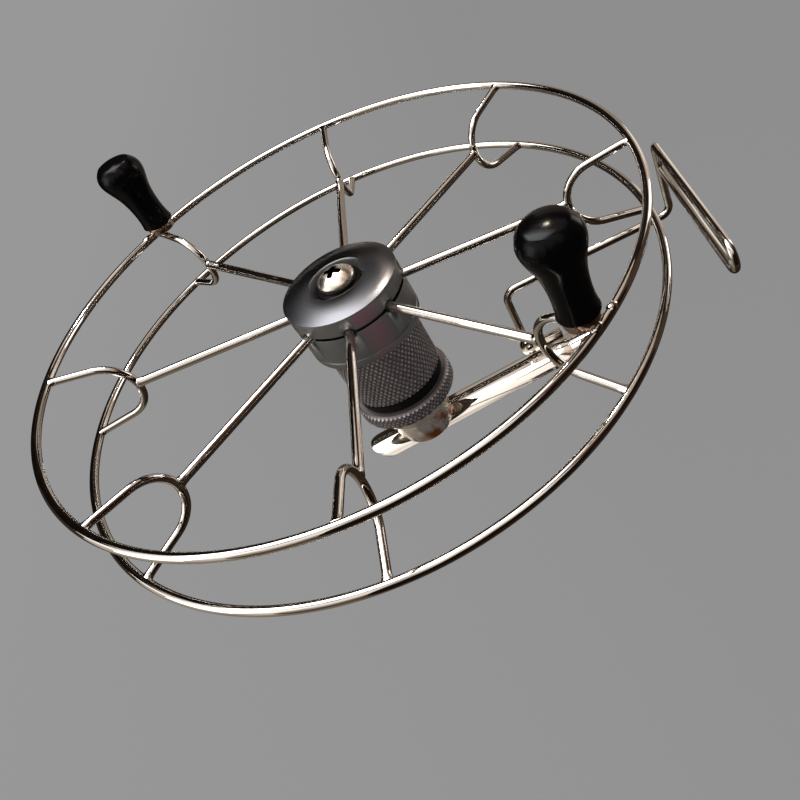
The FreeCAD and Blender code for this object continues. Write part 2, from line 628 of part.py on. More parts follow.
def build_spindle():
    """The spindle, its collar and lock washer, and the screw and washer at its upper end."""
    spindle = turned("spindle", [
        ("axis", "spindle_end_z"),
        ("spigot_radius", "spindle_end_z"),
        ("spigot_radius", "boss_top"),
        ("spindle_thick", "boss_top"),
        ("spindle_thick", "spindle_step_z"),
        ("spindle_thin", "spindle_step_z"),
        ("spindle_thin", "spindle_top_z"),
        ("screw_hole", "spindle_top_z"),
        ("screw_hole", "screw_hole_z"),
        ("axis", "screw_hole_z"),
    ])
    keep(spindle, "spindle")
    keep(tube("collar_radius", "thick_radius", "collar_bottom_z", "collar_top_z"), "collar")
    washer = tube("lock_washer_radius", "thick_radius", "lock_washer_z", "lock_washer_top_z")
    gap = plain("Box", Length="Sizes.lock_washer_radius", Width="Sizes.lock_washer_split",
                Height="Sizes.lock_washer_height", Placement__Base__z="Sizes.lock_washer_z")
    keep(cut(washer, gap), "lock_washer")
    keep(tube("cap_bush_radius", "screw_hole", "front_bearing_top", "bush_top_z"), "cap_bush")
    keep(tube("cap_washer_radius", "screw_hole", "bush_top_z", "washer_top_z"), "cap_washer")
    keep(cap_screw(), "cap_screw")


def cap_screw():
    """A domed screw with a cross recess."""
    shank = cylinder("screw_shank", "screw_end_z", "washer_top_z")
    side = cylinder("screw_head", "washer_top_z", "head_side_z")
    dome_radius = "(Sizes.screw_head ^ 2 + Sizes.screw_head_dome ^ 2) / (2 * Sizes.screw_head_dome)"
    ball = plain("Sphere", Radius=dome_radius,
                 Placement__Base__z="Sizes.head_side_z + Sizes.screw_head_dome - " + dome_radius)
    room = plain("Cylinder", Radius="Sizes.screw_head", Height="Sizes.screw_head_dome",
                 Placement__Base__z="Sizes.head_side_z")
    dome = joined("MultiCommon", [ball, room])
    screw = joined("MultiFuse", [shank, side, dome])
    bars = []
    for length, width in (("cross_length", "cross_width"), ("cross_width", "cross_length")):
        bars.append(plain(
            "Box",
            Length="Sizes." + length,
            Width="Sizes." + width,
            Height="Sizes.cross_depth",
            Placement__Base__x="-Sizes.%s / 2" % length,
            Placement__Base__y="-Sizes.%s / 2" % width,
            Placement__Base__z="Sizes.head_side_z + Sizes.screw_head_dome - Sizes.cross_depth",
        ))
    return cut(screw, joined("MultiFuse", bars))


def rod_cylinder(radius, start, end):
    """A cylinder about the rod's axis between two places along it."""
    thing = plain("Cylinder", Radius=radius, Height="(%s) - (%s)" % (end, start),
                  Placement__Base__x=start)
    thing.Placement.Rotation = Rotation(UP, ALONG_ROD)
    return thing


def cross_cylinder(radius, start, end):
    """A cylinder about the brake pivot's axis between two places across the rod."""
    thing = plain("Cylinder", Radius=radius, Height="(%s) - (%s)" % (end, start),
                  Placement__Base__x="Sizes.pivot_along", Placement__Base__y=start,
                  Placement__Base__z="Sizes.pivot_height")
    thing.Placement.Rotation = Rotation(UP, Vector(0, 1, 0))
    return thing


def foot_plan():
    """The foot's outline from above: a strip with two round ends."""
    strip = plain(
        "Box",
        Length="Sizes.foot_long_end + Sizes.foot_short_end - 2 * Sizes.foot_half_width",
        Width="2 * Sizes.foot_half_width",
        Height="Sizes.foot_outer",
        Placement__Base__x="Sizes.foot_half_width - Sizes.foot_short_end",
        Placement__Base__y="-Sizes.foot_half_width",
    )
    short_end = plain("Cylinder", Radius="Sizes.foot_half_width", Height="Sizes.foot_outer",
                      Placement__Base__x="Sizes.foot_half_width - Sizes.foot_short_end")
    long_end = plain("Cylinder", Radius="Sizes.foot_half_width", Height="Sizes.foot_outer",
                     Placement__Base__x="Sizes.foot_long_end - Sizes.foot_half_width")
    return joined("MultiFuse", [strip, short_end, long_end])


def build_foot():
    """The rod foot: a curved strip with a boss for the spindle."""
    whole = rod_cylinder("Sizes.foot_outer", "-Sizes.foot_short_end", "Sizes.foot_long_end")
    strip = joined("MultiCommon", [whole, foot_plan()])
    upper = cylinder("boss_radius", "boss_waist", "boss_top")
    lower = plain("Cone", Radius1="Sizes.boss_foot_radius", Radius2="Sizes.boss_radius",
                  Height="Sizes.boss_waist - Sizes.boss_base",
                  Placement__Base__z="Sizes.boss_base")
    solid = joined("MultiFuse", [strip, upper, lower])
    rod = rod_cylinder("Sizes.rod_radius", "-Sizes.foot_short_end - Sizes.overrun",
                       "Sizes.foot_long_end + Sizes.overrun")
    bore = cylinder("boss_bore", "spindle_end_z", "boss_top")
    keep(cut(cut(solid, rod), bore), "foot")


def build_brake_saddle():
    """The saddle on the long tongue, with the ear that the brake wire is hooked through."""
    band = rod_cylinder("Sizes.saddle_outer", "Sizes.saddle_start", "Sizes.saddle_end")
    across = plain(
        "Box",
        Length="Sizes.saddle_end - Sizes.saddle_start",
        Width="2 * Sizes.foot_half_width",
        Height="2 * Sizes.foot_outer",
        Placement__Base__x="Sizes.saddle_start",
        Placement__Base__y="-Sizes.foot_half_width",
    )
    web = plain(
        "Box",
        Length="Sizes.saddle_end - Sizes.pivot_along",
        Width="Sizes.ear_outer - Sizes.ear_inner",
        Height="Sizes.pivot_height",
        Placement__Base__x="Sizes.pivot_along",
        Placement__Base__y="Sizes.ear_inner",
    )
    ear = cross_cylinder("Sizes.ear_radius", "Sizes.ear_inner", "Sizes.ear_outer")
    whole = joined("MultiFuse", [joined("MultiCommon", [band, across]), web, ear])
    foot_room = rod_cylinder("Sizes.foot_outer + Sizes.slip", "0", "Sizes.foot_long_end")
    bore = cross_cylinder("Sizes.lever_wire / 2 + Sizes.slip", "0", "Sizes.riser_across")
    keep(cut(cut(whole, foot_room), bore), "brake_saddle")


def brake_path():
    """Centre line of the brake wire: hook, riser, arm, riser and thumb loop."""
    hook = Vector(size("pivot_along"), size("hook_end"), size("pivot_height"))
    foot = Vector(hook.x, size("riser_across"), hook.z)
    arm_start = Vector(foot.x, foot.y, size("arm_height"))
    arm_end = Vector(size("arm_end_along"), size("arm_end_across"), size("arm_height"))
    loop_start = Vector(arm_end.x, arm_end.y, size("loop_height"))
    turn = math.radians(size("loop_heading"))
    heading = Vector(math.cos(turn), math.sin(turn), 0)
    loop_end = loop_start + heading * size("loop_length")
    below = UP * -size("loop_pitch")
    free_end = loop_start + below + heading * (size("lever_wire") + size("loop_end_gap"))
    points = [hook, foot, arm_start, arm_end, loop_start, loop_end, loop_end + below, free_end]
    half_pitch = size("loop_pitch") / 2
    radii = [size("hook_bend"), size("arm_bend"), size("riser_bend"), size("loop_bend"),
             half_pitch, half_pitch]
    return bent_path(points, radii)


def build_brake_lever():
    """The wire hand brake."""
    keep(round_wire("brake_lever", brake_path(), size("lever_wire")), "brake_lever")


def knob_place(letter):
    """Where a knob's axis stands: on its circle, a little to one side of a spoke."""
    direction = spoke_direction(int(size("knob_%s_spoke" % letter)))
    aside = UP.cross(direction)
    return direction * size("knob_%s_track" % letter) - aside * size("knob_%s_shift" % letter)


def knob_solid():
    """A waisted knob turned about the Z axis, with a blind bore for its axle."""
    foot = size("knob_z")
    top = size("knob_top_z")
    length = top - foot
    crown = size("knob_crown")
    rise = size("knob_crown_rise")
    swell = (size("knob_neck") + size("knob_belly")) / 2 - size("knob_swell_tuck")
    sphere = (crown ** 2 + rise ** 2) / (2 * rise)
    half_angle = math.asin(crown / sphere) / 2
    crown_middle = Vector(sphere * math.sin(half_angle), 0,
                          top - sphere * (1 - math.cos(half_angle)))
    side_points = [
        Vector(size("knob_foot"), 0, foot),
        Vector(size("knob_neck"), 0, foot + length * size("knob_neck_share")),
        Vector(swell, 0, foot + length * size("knob_swell_share")),
        Vector(size("knob_belly"), 0, foot + length * size("knob_belly_share")),
        Vector(crown, 0, top - rise),
    ]
    side = Part.BSplineCurve()
    side.interpolate(side_points)
    edges = [side.toShape(), Part.Arc(side_points[-1], crown_middle, Vector(0, 0, top)).toShape()]
    bore = size("axle_bore")
    bore_top = size("knob_bore_top_z")
    corners = [
        Vector(0, 0, top),
        Vector(0, 0, bore_top),
        Vector(bore, 0, bore_top),
        Vector(bore, 0, foot),
        side_points[0],
    ]
    for start, end in zip(corners, corners[1:]):
        edges.append(Part.LineSegment(start, end).toShape())
    return Part.Face(Part.Wire(edges)).revolve(Vector(), UP, 360)


def build_knobs():
    """Two turning knobs, each on an axle that stands in a lug welded to the front ring."""
    for letter in ("a", "b"):
        place = knob_place(letter)
        lug = tube("lug_radius", "lug_bore", "lug_z", "lug_top_z")
        axle = cylinder("axle_radius", "lug_z", "axle_top_z")
        knob = doc.addObject("Part::Feature", "knob")
        knob.Shape = knob_solid()
        lug.Placement.Base = place
        bind(axle, Placement__Base__x="%.9f" % place.x, Placement__Base__y="%.9f" % place.y)
        knob.Placement.Base = place
        keep(lug, "knob_lug_" + letter)
        keep(axle, "knob_axle_" + letter)
        keep(knob, "knob_" + letter)


def check_and_write():
    """Stops at any failed object, then writes each sub-part to its own file."""
    doc.recompute()
    for thing in doc.Objects:
        if "Invalid" in thing.State or "Error" in thing.State:
            raise RuntimeError("failed object: " + thing.Label)
    os.makedirs("parts", exist_ok=True)
    for part in parts:
        if part.Shape.isNull() or not part.Shape.isValid():
            raise RuntimeError("bad shape: " + part.Label)
    for part in parts:
        part.Shape.exportStep("parts/%s.step" % part.Label)
    print("%d sub-parts written" % len(parts))


fill_sheet()
build_rims()
build_hoops()
build_spokes()
build_hub()
build_bearing("front", "front_bearing_z", "front_bearing_top")
build_bearing("rear", "rear_bearing_z", "rear_bearing_top")
build_bearing_fittings()
build_drag()
build_spindle()
build_foot()
build_brake_saddle()
build_brake_lever()
build_knobs()
check_and_write()
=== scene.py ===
"""Raft fishing reel: the visible pieces and their finishes, and a soft studio round them.

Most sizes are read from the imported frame. Those that it doesn't hold, such as a knurl's pitch, are
properties.
"""

import math

import bmesh
import bpy
from bpy.props import FloatProperty, FloatVectorProperty, PointerProperty
from mathutils import noise, Matrix, Vector


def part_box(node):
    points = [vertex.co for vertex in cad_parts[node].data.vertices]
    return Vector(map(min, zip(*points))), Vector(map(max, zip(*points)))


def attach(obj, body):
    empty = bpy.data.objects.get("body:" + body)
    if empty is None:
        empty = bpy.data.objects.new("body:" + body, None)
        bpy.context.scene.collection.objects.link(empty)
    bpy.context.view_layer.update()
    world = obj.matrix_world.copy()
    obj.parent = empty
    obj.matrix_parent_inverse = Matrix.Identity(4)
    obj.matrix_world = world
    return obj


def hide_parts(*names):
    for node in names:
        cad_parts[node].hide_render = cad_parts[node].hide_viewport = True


bl_info = {
    "name": "Raft Fishing Reel",
    "version": (1, 0, 0),
    "blender": (4, 5, 0),
    "location": "3D View > Sidebar > Reel",
    "description": "Builds the visible pieces of a raft fishing reel, and a studio round them",
    "category": "Object",
}

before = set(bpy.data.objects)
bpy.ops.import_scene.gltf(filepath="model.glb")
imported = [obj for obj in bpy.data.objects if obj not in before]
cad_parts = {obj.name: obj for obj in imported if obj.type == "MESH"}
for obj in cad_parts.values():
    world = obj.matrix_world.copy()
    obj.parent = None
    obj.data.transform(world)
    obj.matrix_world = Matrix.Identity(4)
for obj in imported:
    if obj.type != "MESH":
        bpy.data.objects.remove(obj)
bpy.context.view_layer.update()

MM = 0.001
UP = Vector((0, 0, 1))
ORIGIN = (0, 0, 0)
WIRE_SIDES = 24
SPOKE_COUNT = 8
# Steps of a full turn: for the rims, the hub and knobs, most pieces, small pieces and the axles
RIM_STEPS, FINE_STEPS, TURN_STEPS, SMALL_STEPS, AXLE_STEPS = 288, 160, 128, 96, 48
# Steps of a hoop's bend, a weld's fillet, the cap's crown, the screw's dome and a card's curve
BEND_STEPS, WELD_STEPS, CROWN_STEPS, DOME_STEPS, CARD_STEPS = 40, 7, 20, 16, 16
# Steps of a spoke's hole, and along and across the foot; how often a weld bead's faces are divided
HOLE_STEPS, FOOT_STEPS, BEAD_DIVISIONS = 32, (90, 28), 4
# Distances in metres at which vertices of a CAD mesh, a half section and a turned mesh are merged
CAD_MERGE, SECTION_MERGE, TURN_MERGE = 2e-6, 5e-6, 1e-7
# How near a vertex lies to a wall or a face that it is on, and how far away one that isn't
NEAR, AWAY = 0.05 * MM, 2 * MM
# How far the cutters of the spoke holes and of the screw's cross reach past the metal
HOLE_OVERRUN, CROSS_OVERRUN = 1 * MM, 0.1 * MM
# The direction in which a turned CAD node is cut, between its mesh's own edges
SECTION_ANGLE = math.radians(13.3)
# Sides on which a reflection is painted: a redder band on the hub, and warm copper patches on the
# boss
REFLECTING_SIDE = (0.208, -0.978, 0)
WARM_REFLECTION_SIDE = (0.94, -0.34, 0)
# Shares of the hub's radius between which the painted red reflection comes in
REFLECTION_START, REFLECTION_END = 0.955, 0.99
# How upright the surface is where a turned piece's side gives way to its face
SIDE_SLOPE, FACE_SLOPE = 0.3, 0.8
# How much of a knurl's depth is worn, from its points down, and the angle at which its edges stay
WORN_DEPTH = 0.3
KNURL_SHARP = math.radians(12)
# How far each side of the boss's middle the painted warm reflection comes and goes
WARM_REFLECTION_FADE = 3 * MM
# Size of the screw's cross recess at its bottom, as shares: along a bar, across it and down
CROSS_TAPER = (0.45, 0.6, 1)
# A wire's rounded end: how far each step goes on, and how far it narrows, as shares of the radius
END_STEPS = ((0.24, 0.93), (0.18, 0.8), (0.08, 0.55))
# How much wider a spoke's weld makes it: along the spindle and across
SPOKE_SWELL = (0, 0.02, 0.3)
# A weld bead's shape: outward, along the ring and up
BEAD_SHAPE = (0.8, 1.35, 0.75)
# Weld beads at a knob's lug: degrees along the ring from the knob, mm inward and up, and size
BEADS = ((-3.2, 0.5, 0.3, 0.9), (-0.7, 0.1, 0.7, 1.0), (3.6, 0.0, 0.35, 1.15))
# The camera's turns in degrees, as they were fitted to the photograph
CAMERA_TURN = (46.8004, 19.9434, -20.0351)
# The studio, in metres: the floor's height, half its width, and the distance of the cards
FLOOR_HEIGHT = -0.7
FLOOR_HALF = 40
CARD_DISTANCE = 0.7
# The floor's grey fades along this heading, between these distances from the spindle
FADE_HEADING = (0.99, -0.14, 0)
FADE_START, FADE_END = -1.1, 0.1
# How much of its grey the floor has as paint, which takes the shadow, and how much as its own glow
FLOOR_PAINT, FLOOR_GLOW = 0.25, 0.9


def linear(code):
    """A linear colour from an sRGB hex code."""
    levels = [int(code[place:place + 2], 16) / 255 for place in (0, 2, 4)]
    return tuple(level / 12.92 if level <= 0.04045 else ((level + 0.055) / 1.055) ** 2.4
                 for level in levels)


def rgba(colour):
    """A colour property with full alpha."""
    return (*colour, 1.0)


def per(millimetres):
    """The texture scale whose features are this large."""
    return 1 / (millimetres * MM)


def colour_property(name, code, description):
    """A colour that a user may change."""
    return FloatVectorProperty(name=name, description=description, subtype="COLOR",
                               default=linear(code), min=0, max=1)


def length_property(name, millimetres, description):
    """A length that a user may change."""
    return FloatProperty(name=name, description=description, unit="LENGTH",
                         default=millimetres * MM, precision=5)


def angle_property(name, degrees, description):
    """An angle that a user may change."""
    return FloatProperty(name=name, description=description, subtype="ANGLE",
                         default=math.radians(degrees))


def share_property(name, share, description):
    """A share or a strength that a user may change."""
    return FloatProperty(name=name, description=description, default=share, min=0)


class ReelFinish(bpy.types.PropertyGroup):
    """Colours of the reel's finishes."""

    wire: colour_property("Wire", "DAD5CF", "Polished stainless wire")
    heat: colour_property("Weld tint", "8C6A48", "Straw tint that a weld leaves on the wire")
    hub: colour_property("Hub", "4E4E51", "Dark anodised hub: its turned face")
    hub_side: colour_property("Hub side", "7C7C7A", "The hub's sides, where light scatters more")
    # Painted reflection: a redder band down the side of the hub
    hub_painted_reflection: colour_property("Hub painted reflection", "9C7880", "Painted reflection: a redder band down one side of the hub")
    knurl_low: colour_property("Knurl grooves", "665F5F", "Bottom of the knurl")
    knurl_high: colour_property("Knurl points", "DAD2D4", "Worn points of the knurl")
    oxide: colour_property("Washer", "141212", "Black oxide of the washer and the bush")
    # Painted shade, with old grease, that darkens the screw's cross recess
    recess_shade: colour_property("Screw recess", "0C0A09", "Painted shade and old grease in the screw's cross recess")
    # Painted reflection: warm copper patches on one side of the boss
    worn: colour_property("Boss painted reflection", "B8683A", "Painted warm reflection, as copper patches on one side of the boss")
    friction: colour_property("Friction ring", "070707", "Black friction material")
    plate: colour_property("Foot", "EAE4DC", "Chrome plated foot")
    collar: colour_property("Collar", "E6D9C8", "Nickel plated collar")
    screw: colour_property("Screw", "F8F0E6", "Bright plated screw")
    knob: colour_property("Knobs", "070607", "Moulded black plastic")
    lug: colour_property("Knob lugs", "A88F7E", "Nickel plated lugs")
    steel: colour_property("Inner steel", "A4A6A8", "Turned and ground steel")


class ReelDetails(bpy.types.PropertyGroup):
    """Sizes that the frame doesn't hold."""

    knurl_round: length_property("Knurl round", 1.32, "Width of a diamond, round the spindle")
    knurl_along: length_property("Knurl along", 2.16, "Length of a diamond, along the spindle")
    knurl_depth: length_property("Knurl depth", 0.36, "Height of the knurl's points")
    knurl_lip: length_property("Knurl lip", 0.25, "Bevel at each end of the barrel's knurl")
    edge_break: length_property("Edge break", 0.16, "Rounding of a turned edge")
    rim_break: length_property("Rim break", 0.5, "Bevel at the rim of the cap's recess")
    parting_gap: length_property("Parting gap", 1.0, "Groove where cap and hub body meet")
    cap_crown: length_property("Cap crown", 0.55, "How far the cap's face falls towards its edge")
    body_break: length_property("Hub body break", 0.4, "Rounding of the hub body's lower edge")
    lip_height: length_property("Lip height", 1.3, "Lip at the hub body's lower edge")
    lip_groove: length_property("Lip groove", 0.3, "Fine groove above that lip")
    hole_gap: length_property("Hole gap", 0.5, "Between a spoke and its hole in the hub")
    hoop_wire: length_property("Hoop wire", 2.0, "Hoop diameter")
    hoop_flare: angle_property("Hoop flare", 9, "Angle of a hoop's leg to the spoke plane")
    weld_depth: length_property("Weld depth", 0.4, "How far a welded wire end sinks in")
    weld_reach: length_property("Weld reach", 2.2, "Length of the fillet at a welded wire end")
    weld_swell: share_property("Weld swell", 0.75, "Share that the fillet adds to the wire's width")
    heat_reach: length_property("Heat reach", 3.5, "How far a weld's tint spreads")
    foot_sheet: length_property("Foot sheet", 1.0, "Foot sheet thickness")
    foot_half: length_property("Foot half width", 5.8, "Half the width of the foot")
    foot_outer: length_property("Foot radius", 8.0, "Outside of the foot's gutter")
    boss_radius: length_property("Boss radius", 8.8, "Foot boss")
    boss_foot: length_property("Boss foot", 7.7, "Foot boss where it meets the tongues")
    boss_waist: length_property("Boss waist", 4.2, "Straight side of the foot boss")
    boss_depth: length_property("Boss depth", 8.8, "Foot boss from its top to its underside")
    boss_edge: length_property("Boss edge", 0.35, "Rounding of the foot boss's edges")
    boss_grip: length_property("Boss grip", 0.6, "How far the boss closes in on the spindle")
    foot_edge: length_property("Foot edge", 0.2, "Rounding of the foot's edges")
    saddle_edge: length_property("Saddle edge", 0.15, "Rounding of the brake saddle's edges")
    lever_edge: length_property("Lever edge", 0.4, "Rounding of the brake wire's ends and bends")
    collar_edge: length_property("Collar edge", 0.5, "Rounding of the collar's edges")
    washer_edge: length_property("Lock washer edge", 0.12, "Rounding of the lock washer's edges")
    knob_edge: length_property("Knob edge", 0.3, "Rounding of the knobs' and their lugs' edges")
    axle_edge: length_property("Axle edge", 0.2, "Rounding of the knob axles' edges")
    screw_edge: length_property("Screw edge", 0.45, "Rounding of the screw head's edge")
    screw_shank: length_property("Screw shank", 2.5, "Radius of the screw's shank")
    screw_side: length_property("Screw side", 1.5, "Straight side of the screw head")
    screw_dome: length_property("Screw dome", 2.3, "Dome of the screw head")
    cross_length: length_property("Cross length", 5.6, "Length of the screw's cross recess")
    cross_width: length_property("Cross width", 1.7, "Width of the screw's cross recess")
    cross_angle: angle_property("Cross angle", 62, "Direction in which the screw came to rest")
    cross_depth: length_property("Cross depth", 2.2, "Depth of the screw's cross recess")
    cross_edge: length_property("Cross edge", 0.12, "Rounding of the cross recess's edges")
    bead: length_property("Weld bead", 1.25, "Radius of the weld beads at the knob lugs")
    bead_lump: length_property("Bead lumps", 2.0, "Size of the lumps on a weld bead")
    bead_rise: length_property("Bead rise", 0.2, "Height of the lumps on a weld bead")


class ReelStudio(bpy.types.PropertyGroup):
    """The camera and the lamps."""

    camera_place: FloatVectorProperty(name="Camera", description="Place of the camera",
                                      default=(22.56 * MM, -173.41 * MM, 170.91 * MM),
                                      subtype="TRANSLATION", precision=5)
    camera_turn: FloatVectorProperty(name="Camera turn", description="Rotation of the camera",
                                     default=[math.radians(turn) for turn in CAMERA_TURN],
                                     subtype="EULER")
    lens: FloatProperty(name="Lens", description="Focal length in mm on a 36 mm sensor",
                        default=36.2614, min=1)
    shift: FloatVectorProperty(name="Shift", description="Framing shift", size=2,
                               default=(-0.1172, -0.08694))
    backdrop: colour_property("Backdrop", "979797", "Plain grey behind the reel")
    backdrop_far: colour_property("Backdrop, right", "8B8B8B", "The same grey at the right")
    overhead: share_property("Overhead", 2.5, "Power of the overhead soft box in watts")
    core: share_property("Overhead core", 2.0, "Power of that box's bright middle in watts")
    front: share_property("Front", 1.1, "Power of the front lamp in watts, which no metal mirrors")
    left: share_property("Left", 0.6, "Power of the left lamp in watts")
    right: share_property("Right", 0.3, "Power of the right lamp in watts")
    lamp: share_property("Lamp", 0.9, "Power of the small lamp in watts")
    fill: share_property("Fill", 0.45, "Strength of the studio's own light")
    # Glow of the cards, which are painted reflections
    cards: share_property("Cards", 1.45, "Strength of the cards that the mirror finishes show")


def node_mesh(node):
    """A merged copy of a CAD node."""
    bm = bmesh.new()
    bm.from_mesh(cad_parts[node].data)
    bmesh.ops.remove_doubles(bm, verts=bm.verts, dist=CAD_MERGE)
    return bm


def span(node):
    """A CAD node's least and greatest distance from the spindle, and its low and high end."""
    places = [vertex.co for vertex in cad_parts[node].data.vertices]
    radii = [place.xy.length for place in places]
    heights = [place.z for place in places]
    return min(radii), max(radii), min(heights), max(heights)


def middle_of(node):
    """The middle of a CAD node's box."""
    low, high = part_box(node)
    return (low + high) / 2


def azimuth(node):
    """The direction of a CAD node's middle, seen from the spindle."""
    middle = middle_of(node)
    return math.atan2(middle.y, middle.x)


def about_spindle(angle):
    """Rotation about the spindle."""
    return Matrix.Rotation(angle, 4, "Z")


def everything(bm):
    """All the parts of a mesh."""
    return bm.verts[:] + bm.edges[:] + bm.faces[:]


def fresh_verts(made):
    """The vertices among an operator's new parts."""
    return [item for item in made if isinstance(item, bmesh.types.BMVert)]


def fresh_ring(made):
    """The edges that join an operator's new vertices."""
    verts = set(fresh_verts(made))
    return [item for item in made
            if isinstance(item, bmesh.types.BMEdge) and set(item.verts) <= verts]


def round_section(bm, place, heading, radius):
    """A round section square to a heading, as a ring of edges."""
    turn = Vector(heading).to_track_quat("Z", "Y").to_matrix().to_4x4()
    made = bmesh.ops.create_circle(bm, segments=WIRE_SIDES, radius=radius,
                                   matrix=Matrix.Translation(place) @ turn)
    return list({edge for vert in made["verts"] for edge in vert.link_edges})


def run_on(bm, ring, offset, scale=(1, 1, 1)):
    """Draws a section out along an offset, and scales it about its middle."""
    made = bmesh.ops.extrude_edge_only(bm, edges=ring)["geom"]
    verts = fresh_verts(made)
    bmesh.ops.translate(bm, verts=verts, vec=offset)
    middle = sum((vert.co for vert in verts), Vector()) / len(verts)
    bmesh.ops.scale(bm, verts=verts, vec=scale, space=Matrix.Translation(-middle))
    return fresh_ring(made)


def bend_on(bm, ring, centre, axis, angle, steps):
    """Draws a section round a bend."""
    verts = list({vert for edge in ring for vert in edge.verts})
    made = bmesh.ops.spin(bm, geom=verts + ring, cent=centre, axis=axis, dvec=ORIGIN, angle=angle,
                          steps=steps, use_merge=False, use_duplicate=False)
    return fresh_ring(made["geom_last"])


def close_end(bm, ring, heading, radius):
    """Closes a section with a rounded end."""
    for step, size in END_STEPS:
        ring = run_on(bm, ring, heading * radius * step, (size, size, size))
    bmesh.ops.contextual_create(bm, geom=ring)


def run_through_weld(bm, ring, heading, length, swell, leaving):
    """Draws a section along a weld's fillet: swell is how much wider each way it is at the weld."""
    for step in range(WELD_STEPS):
        before, after = step / WELD_STEPS, (step + 1) / WELD_STEPS
        if not leaving:
            before, after = 1 - before, 1 - after
        scale = [(1 + extra * (1 - after) ** 3) / (1 + extra * (1 - before) ** 3)
                 for extra in swell]
        ring = run_on(bm, ring, heading * length / WELD_STEPS, scale)
    return ring


def half_section(node, centre=(0, 0)):
    """A turned CAD node's half section: bare edges in the XZ plane."""
    bm = node_mesh(node)
    bmesh.ops.translate(bm, verts=bm.verts, vec=(-centre[0], -centre[1], 0))
    bmesh.ops.rotate(bm, verts=bm.verts, cent=ORIGIN, matrix=about_spindle(-SECTION_ANGLE))
    bmesh.ops.bisect_plane(bm, geom=everything(bm), plane_co=ORIGIN, plane_no=(0, 1, 0),
                           clear_inner=True, clear_outer=True)
    bmesh.ops.bisect_plane(bm, geom=everything(bm), plane_co=ORIGIN, plane_no=(1, 0, 0),
                           clear_inner=True)
    bmesh.ops.remove_doubles(bm, verts=bm.verts, dist=SECTION_MERGE)
    bmesh.ops.dissolve_limit(bm, angle_limit=math.radians(1), verts=bm.verts, edges=bm.edges)
    return bm


def round_corners(bm, width, chosen=None, least=math.radians(28)):
    """Rounds a half section's corners."""
    corners = [vert for vert in bm.verts
               if len(vert.link_edges) == 2 and vert.calc_edge_angle(0) > least
               and (chosen is None or chosen(vert.co))]
    bmesh.ops.bevel(bm, geom=corners, offset=width, offset_type="OFFSET", segments=3, profile=0.5,
                    affect="VERTICES", material=-1, clamp_overlap=True)


def step_corner(bm, place, size):
    """Cuts a square step out of a half section's corner."""
    corner = min(bm.verts, key=lambda vert: (vert.co - place).length)
    bmesh.ops.bevel(bm, geom=[corner], offset=size, offset_type="OFFSET", segments=2, profile=0.5,
                    affect="VERTICES", material=-1, clamp_overlap=False)
    middle = min(bm.verts, key=lambda vert: (vert.co - place).length)
    middle.co = place - Vector((size, 0, size))


def groove_wall(bm, radius, height, size):
    """Cuts a fine V groove into a half section's outer wall, a height above its lower end."""
    outside = [edge for edge in bm.edges if all(vert.co.x > radius - NEAR for vert in edge.verts)]
    wall = max(outside, key=lambda edge: edge.calc_length())
    foot = min(vert.co.z for vert in wall.verts)
    made = fresh_verts(bmesh.ops.subdivide_edges(bm, edges=[wall], cuts=3)["geom_inner"])
    for step, vert in enumerate(sorted(made, key=lambda vert: vert.co.z)):
        vert.co.z = foot + height + size * step
        if step == 1:
            vert.co.x -= size


def turn_section(bm, steps=TURN_STEPS):
    """Turns a half section about the spindle."""
    bmesh.ops.spin(bm, geom=everything(bm), cent=ORIGIN, axis=UP, dvec=ORIGIN, angle=math.tau,
                   steps=steps, use_merge=True, use_duplicate=False)
    bmesh.ops.remove_doubles(bm, verts=bm.verts, dist=TURN_MERGE)
    bmesh.ops.recalc_face_normals(bm, faces=bm.faces)


def section_of(outline):
    """A half section from radius and height pairs, closed."""
    bm = bmesh.new()
    verts = [bm.verts.new((radius, 0, height)) for radius, height in outline]
    for first, second in zip(verts, verts[1:] + verts[:1]):
        bm.edges.new((first, second))
    return bm


def break_edges(bm, width, least=math.radians(40)):
    """Rounds a mesh's sharp edges."""
    edges = [edge for edge in bm.edges
             if len(edge.link_faces) == 2 and edge.calc_face_angle(0) > least]
    bmesh.ops.bevel(bm, geom=edges, offset=width, offset_type="OFFSET", segments=2, profile=0.5,
                    affect="EDGES", material=-1, clamp_overlap=True)


def piece_of(bm, name, body, material, replaced=(), sharp=math.radians(35)):
    """Makes a finished piece of a mesh: it rides on a body and stands for CAD nodes."""
    bmesh.ops.recalc_face_normals(bm, faces=bm.faces)
    mesh = bpy.data.meshes.new(name)
    bm.to_mesh(mesh)
    bm.free()
    mesh.shade_smooth()
    mesh.set_sharp_from_angle(angle=sharp)
    mesh.materials.append(material)
    piece = bpy.data.objects.new(name, mesh)
    bpy.context.scene.collection.objects.link(piece)
    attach(piece, body)
    if replaced:
        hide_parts(*replaced)
    return piece


def turned_again(node, body, material, steps=TURN_STEPS, centre=(0, 0), width=None):
    """A turned CAD node made anew: a finer turning with its corners rounded."""
    bm = half_section(node, centre)
    details = bpy.context.scene.reel_details
    round_corners(bm, details.edge_break if width is None else width)
    turn_section(bm, steps)
    bmesh.ops.translate(bm, verts=bm.verts, vec=(*centre, 0))
    return piece_of(bm, node + "_turned", body, material, [node])


def smoothed(node, body, material, width):
    """A CAD node's copy with smooth faces and its sharp edges rounded."""
    bm = node_mesh(node)
    break_edges(bm, width, least=math.radians(50))
    return piece_of(bm, node + "_smooth", body, material, [node])


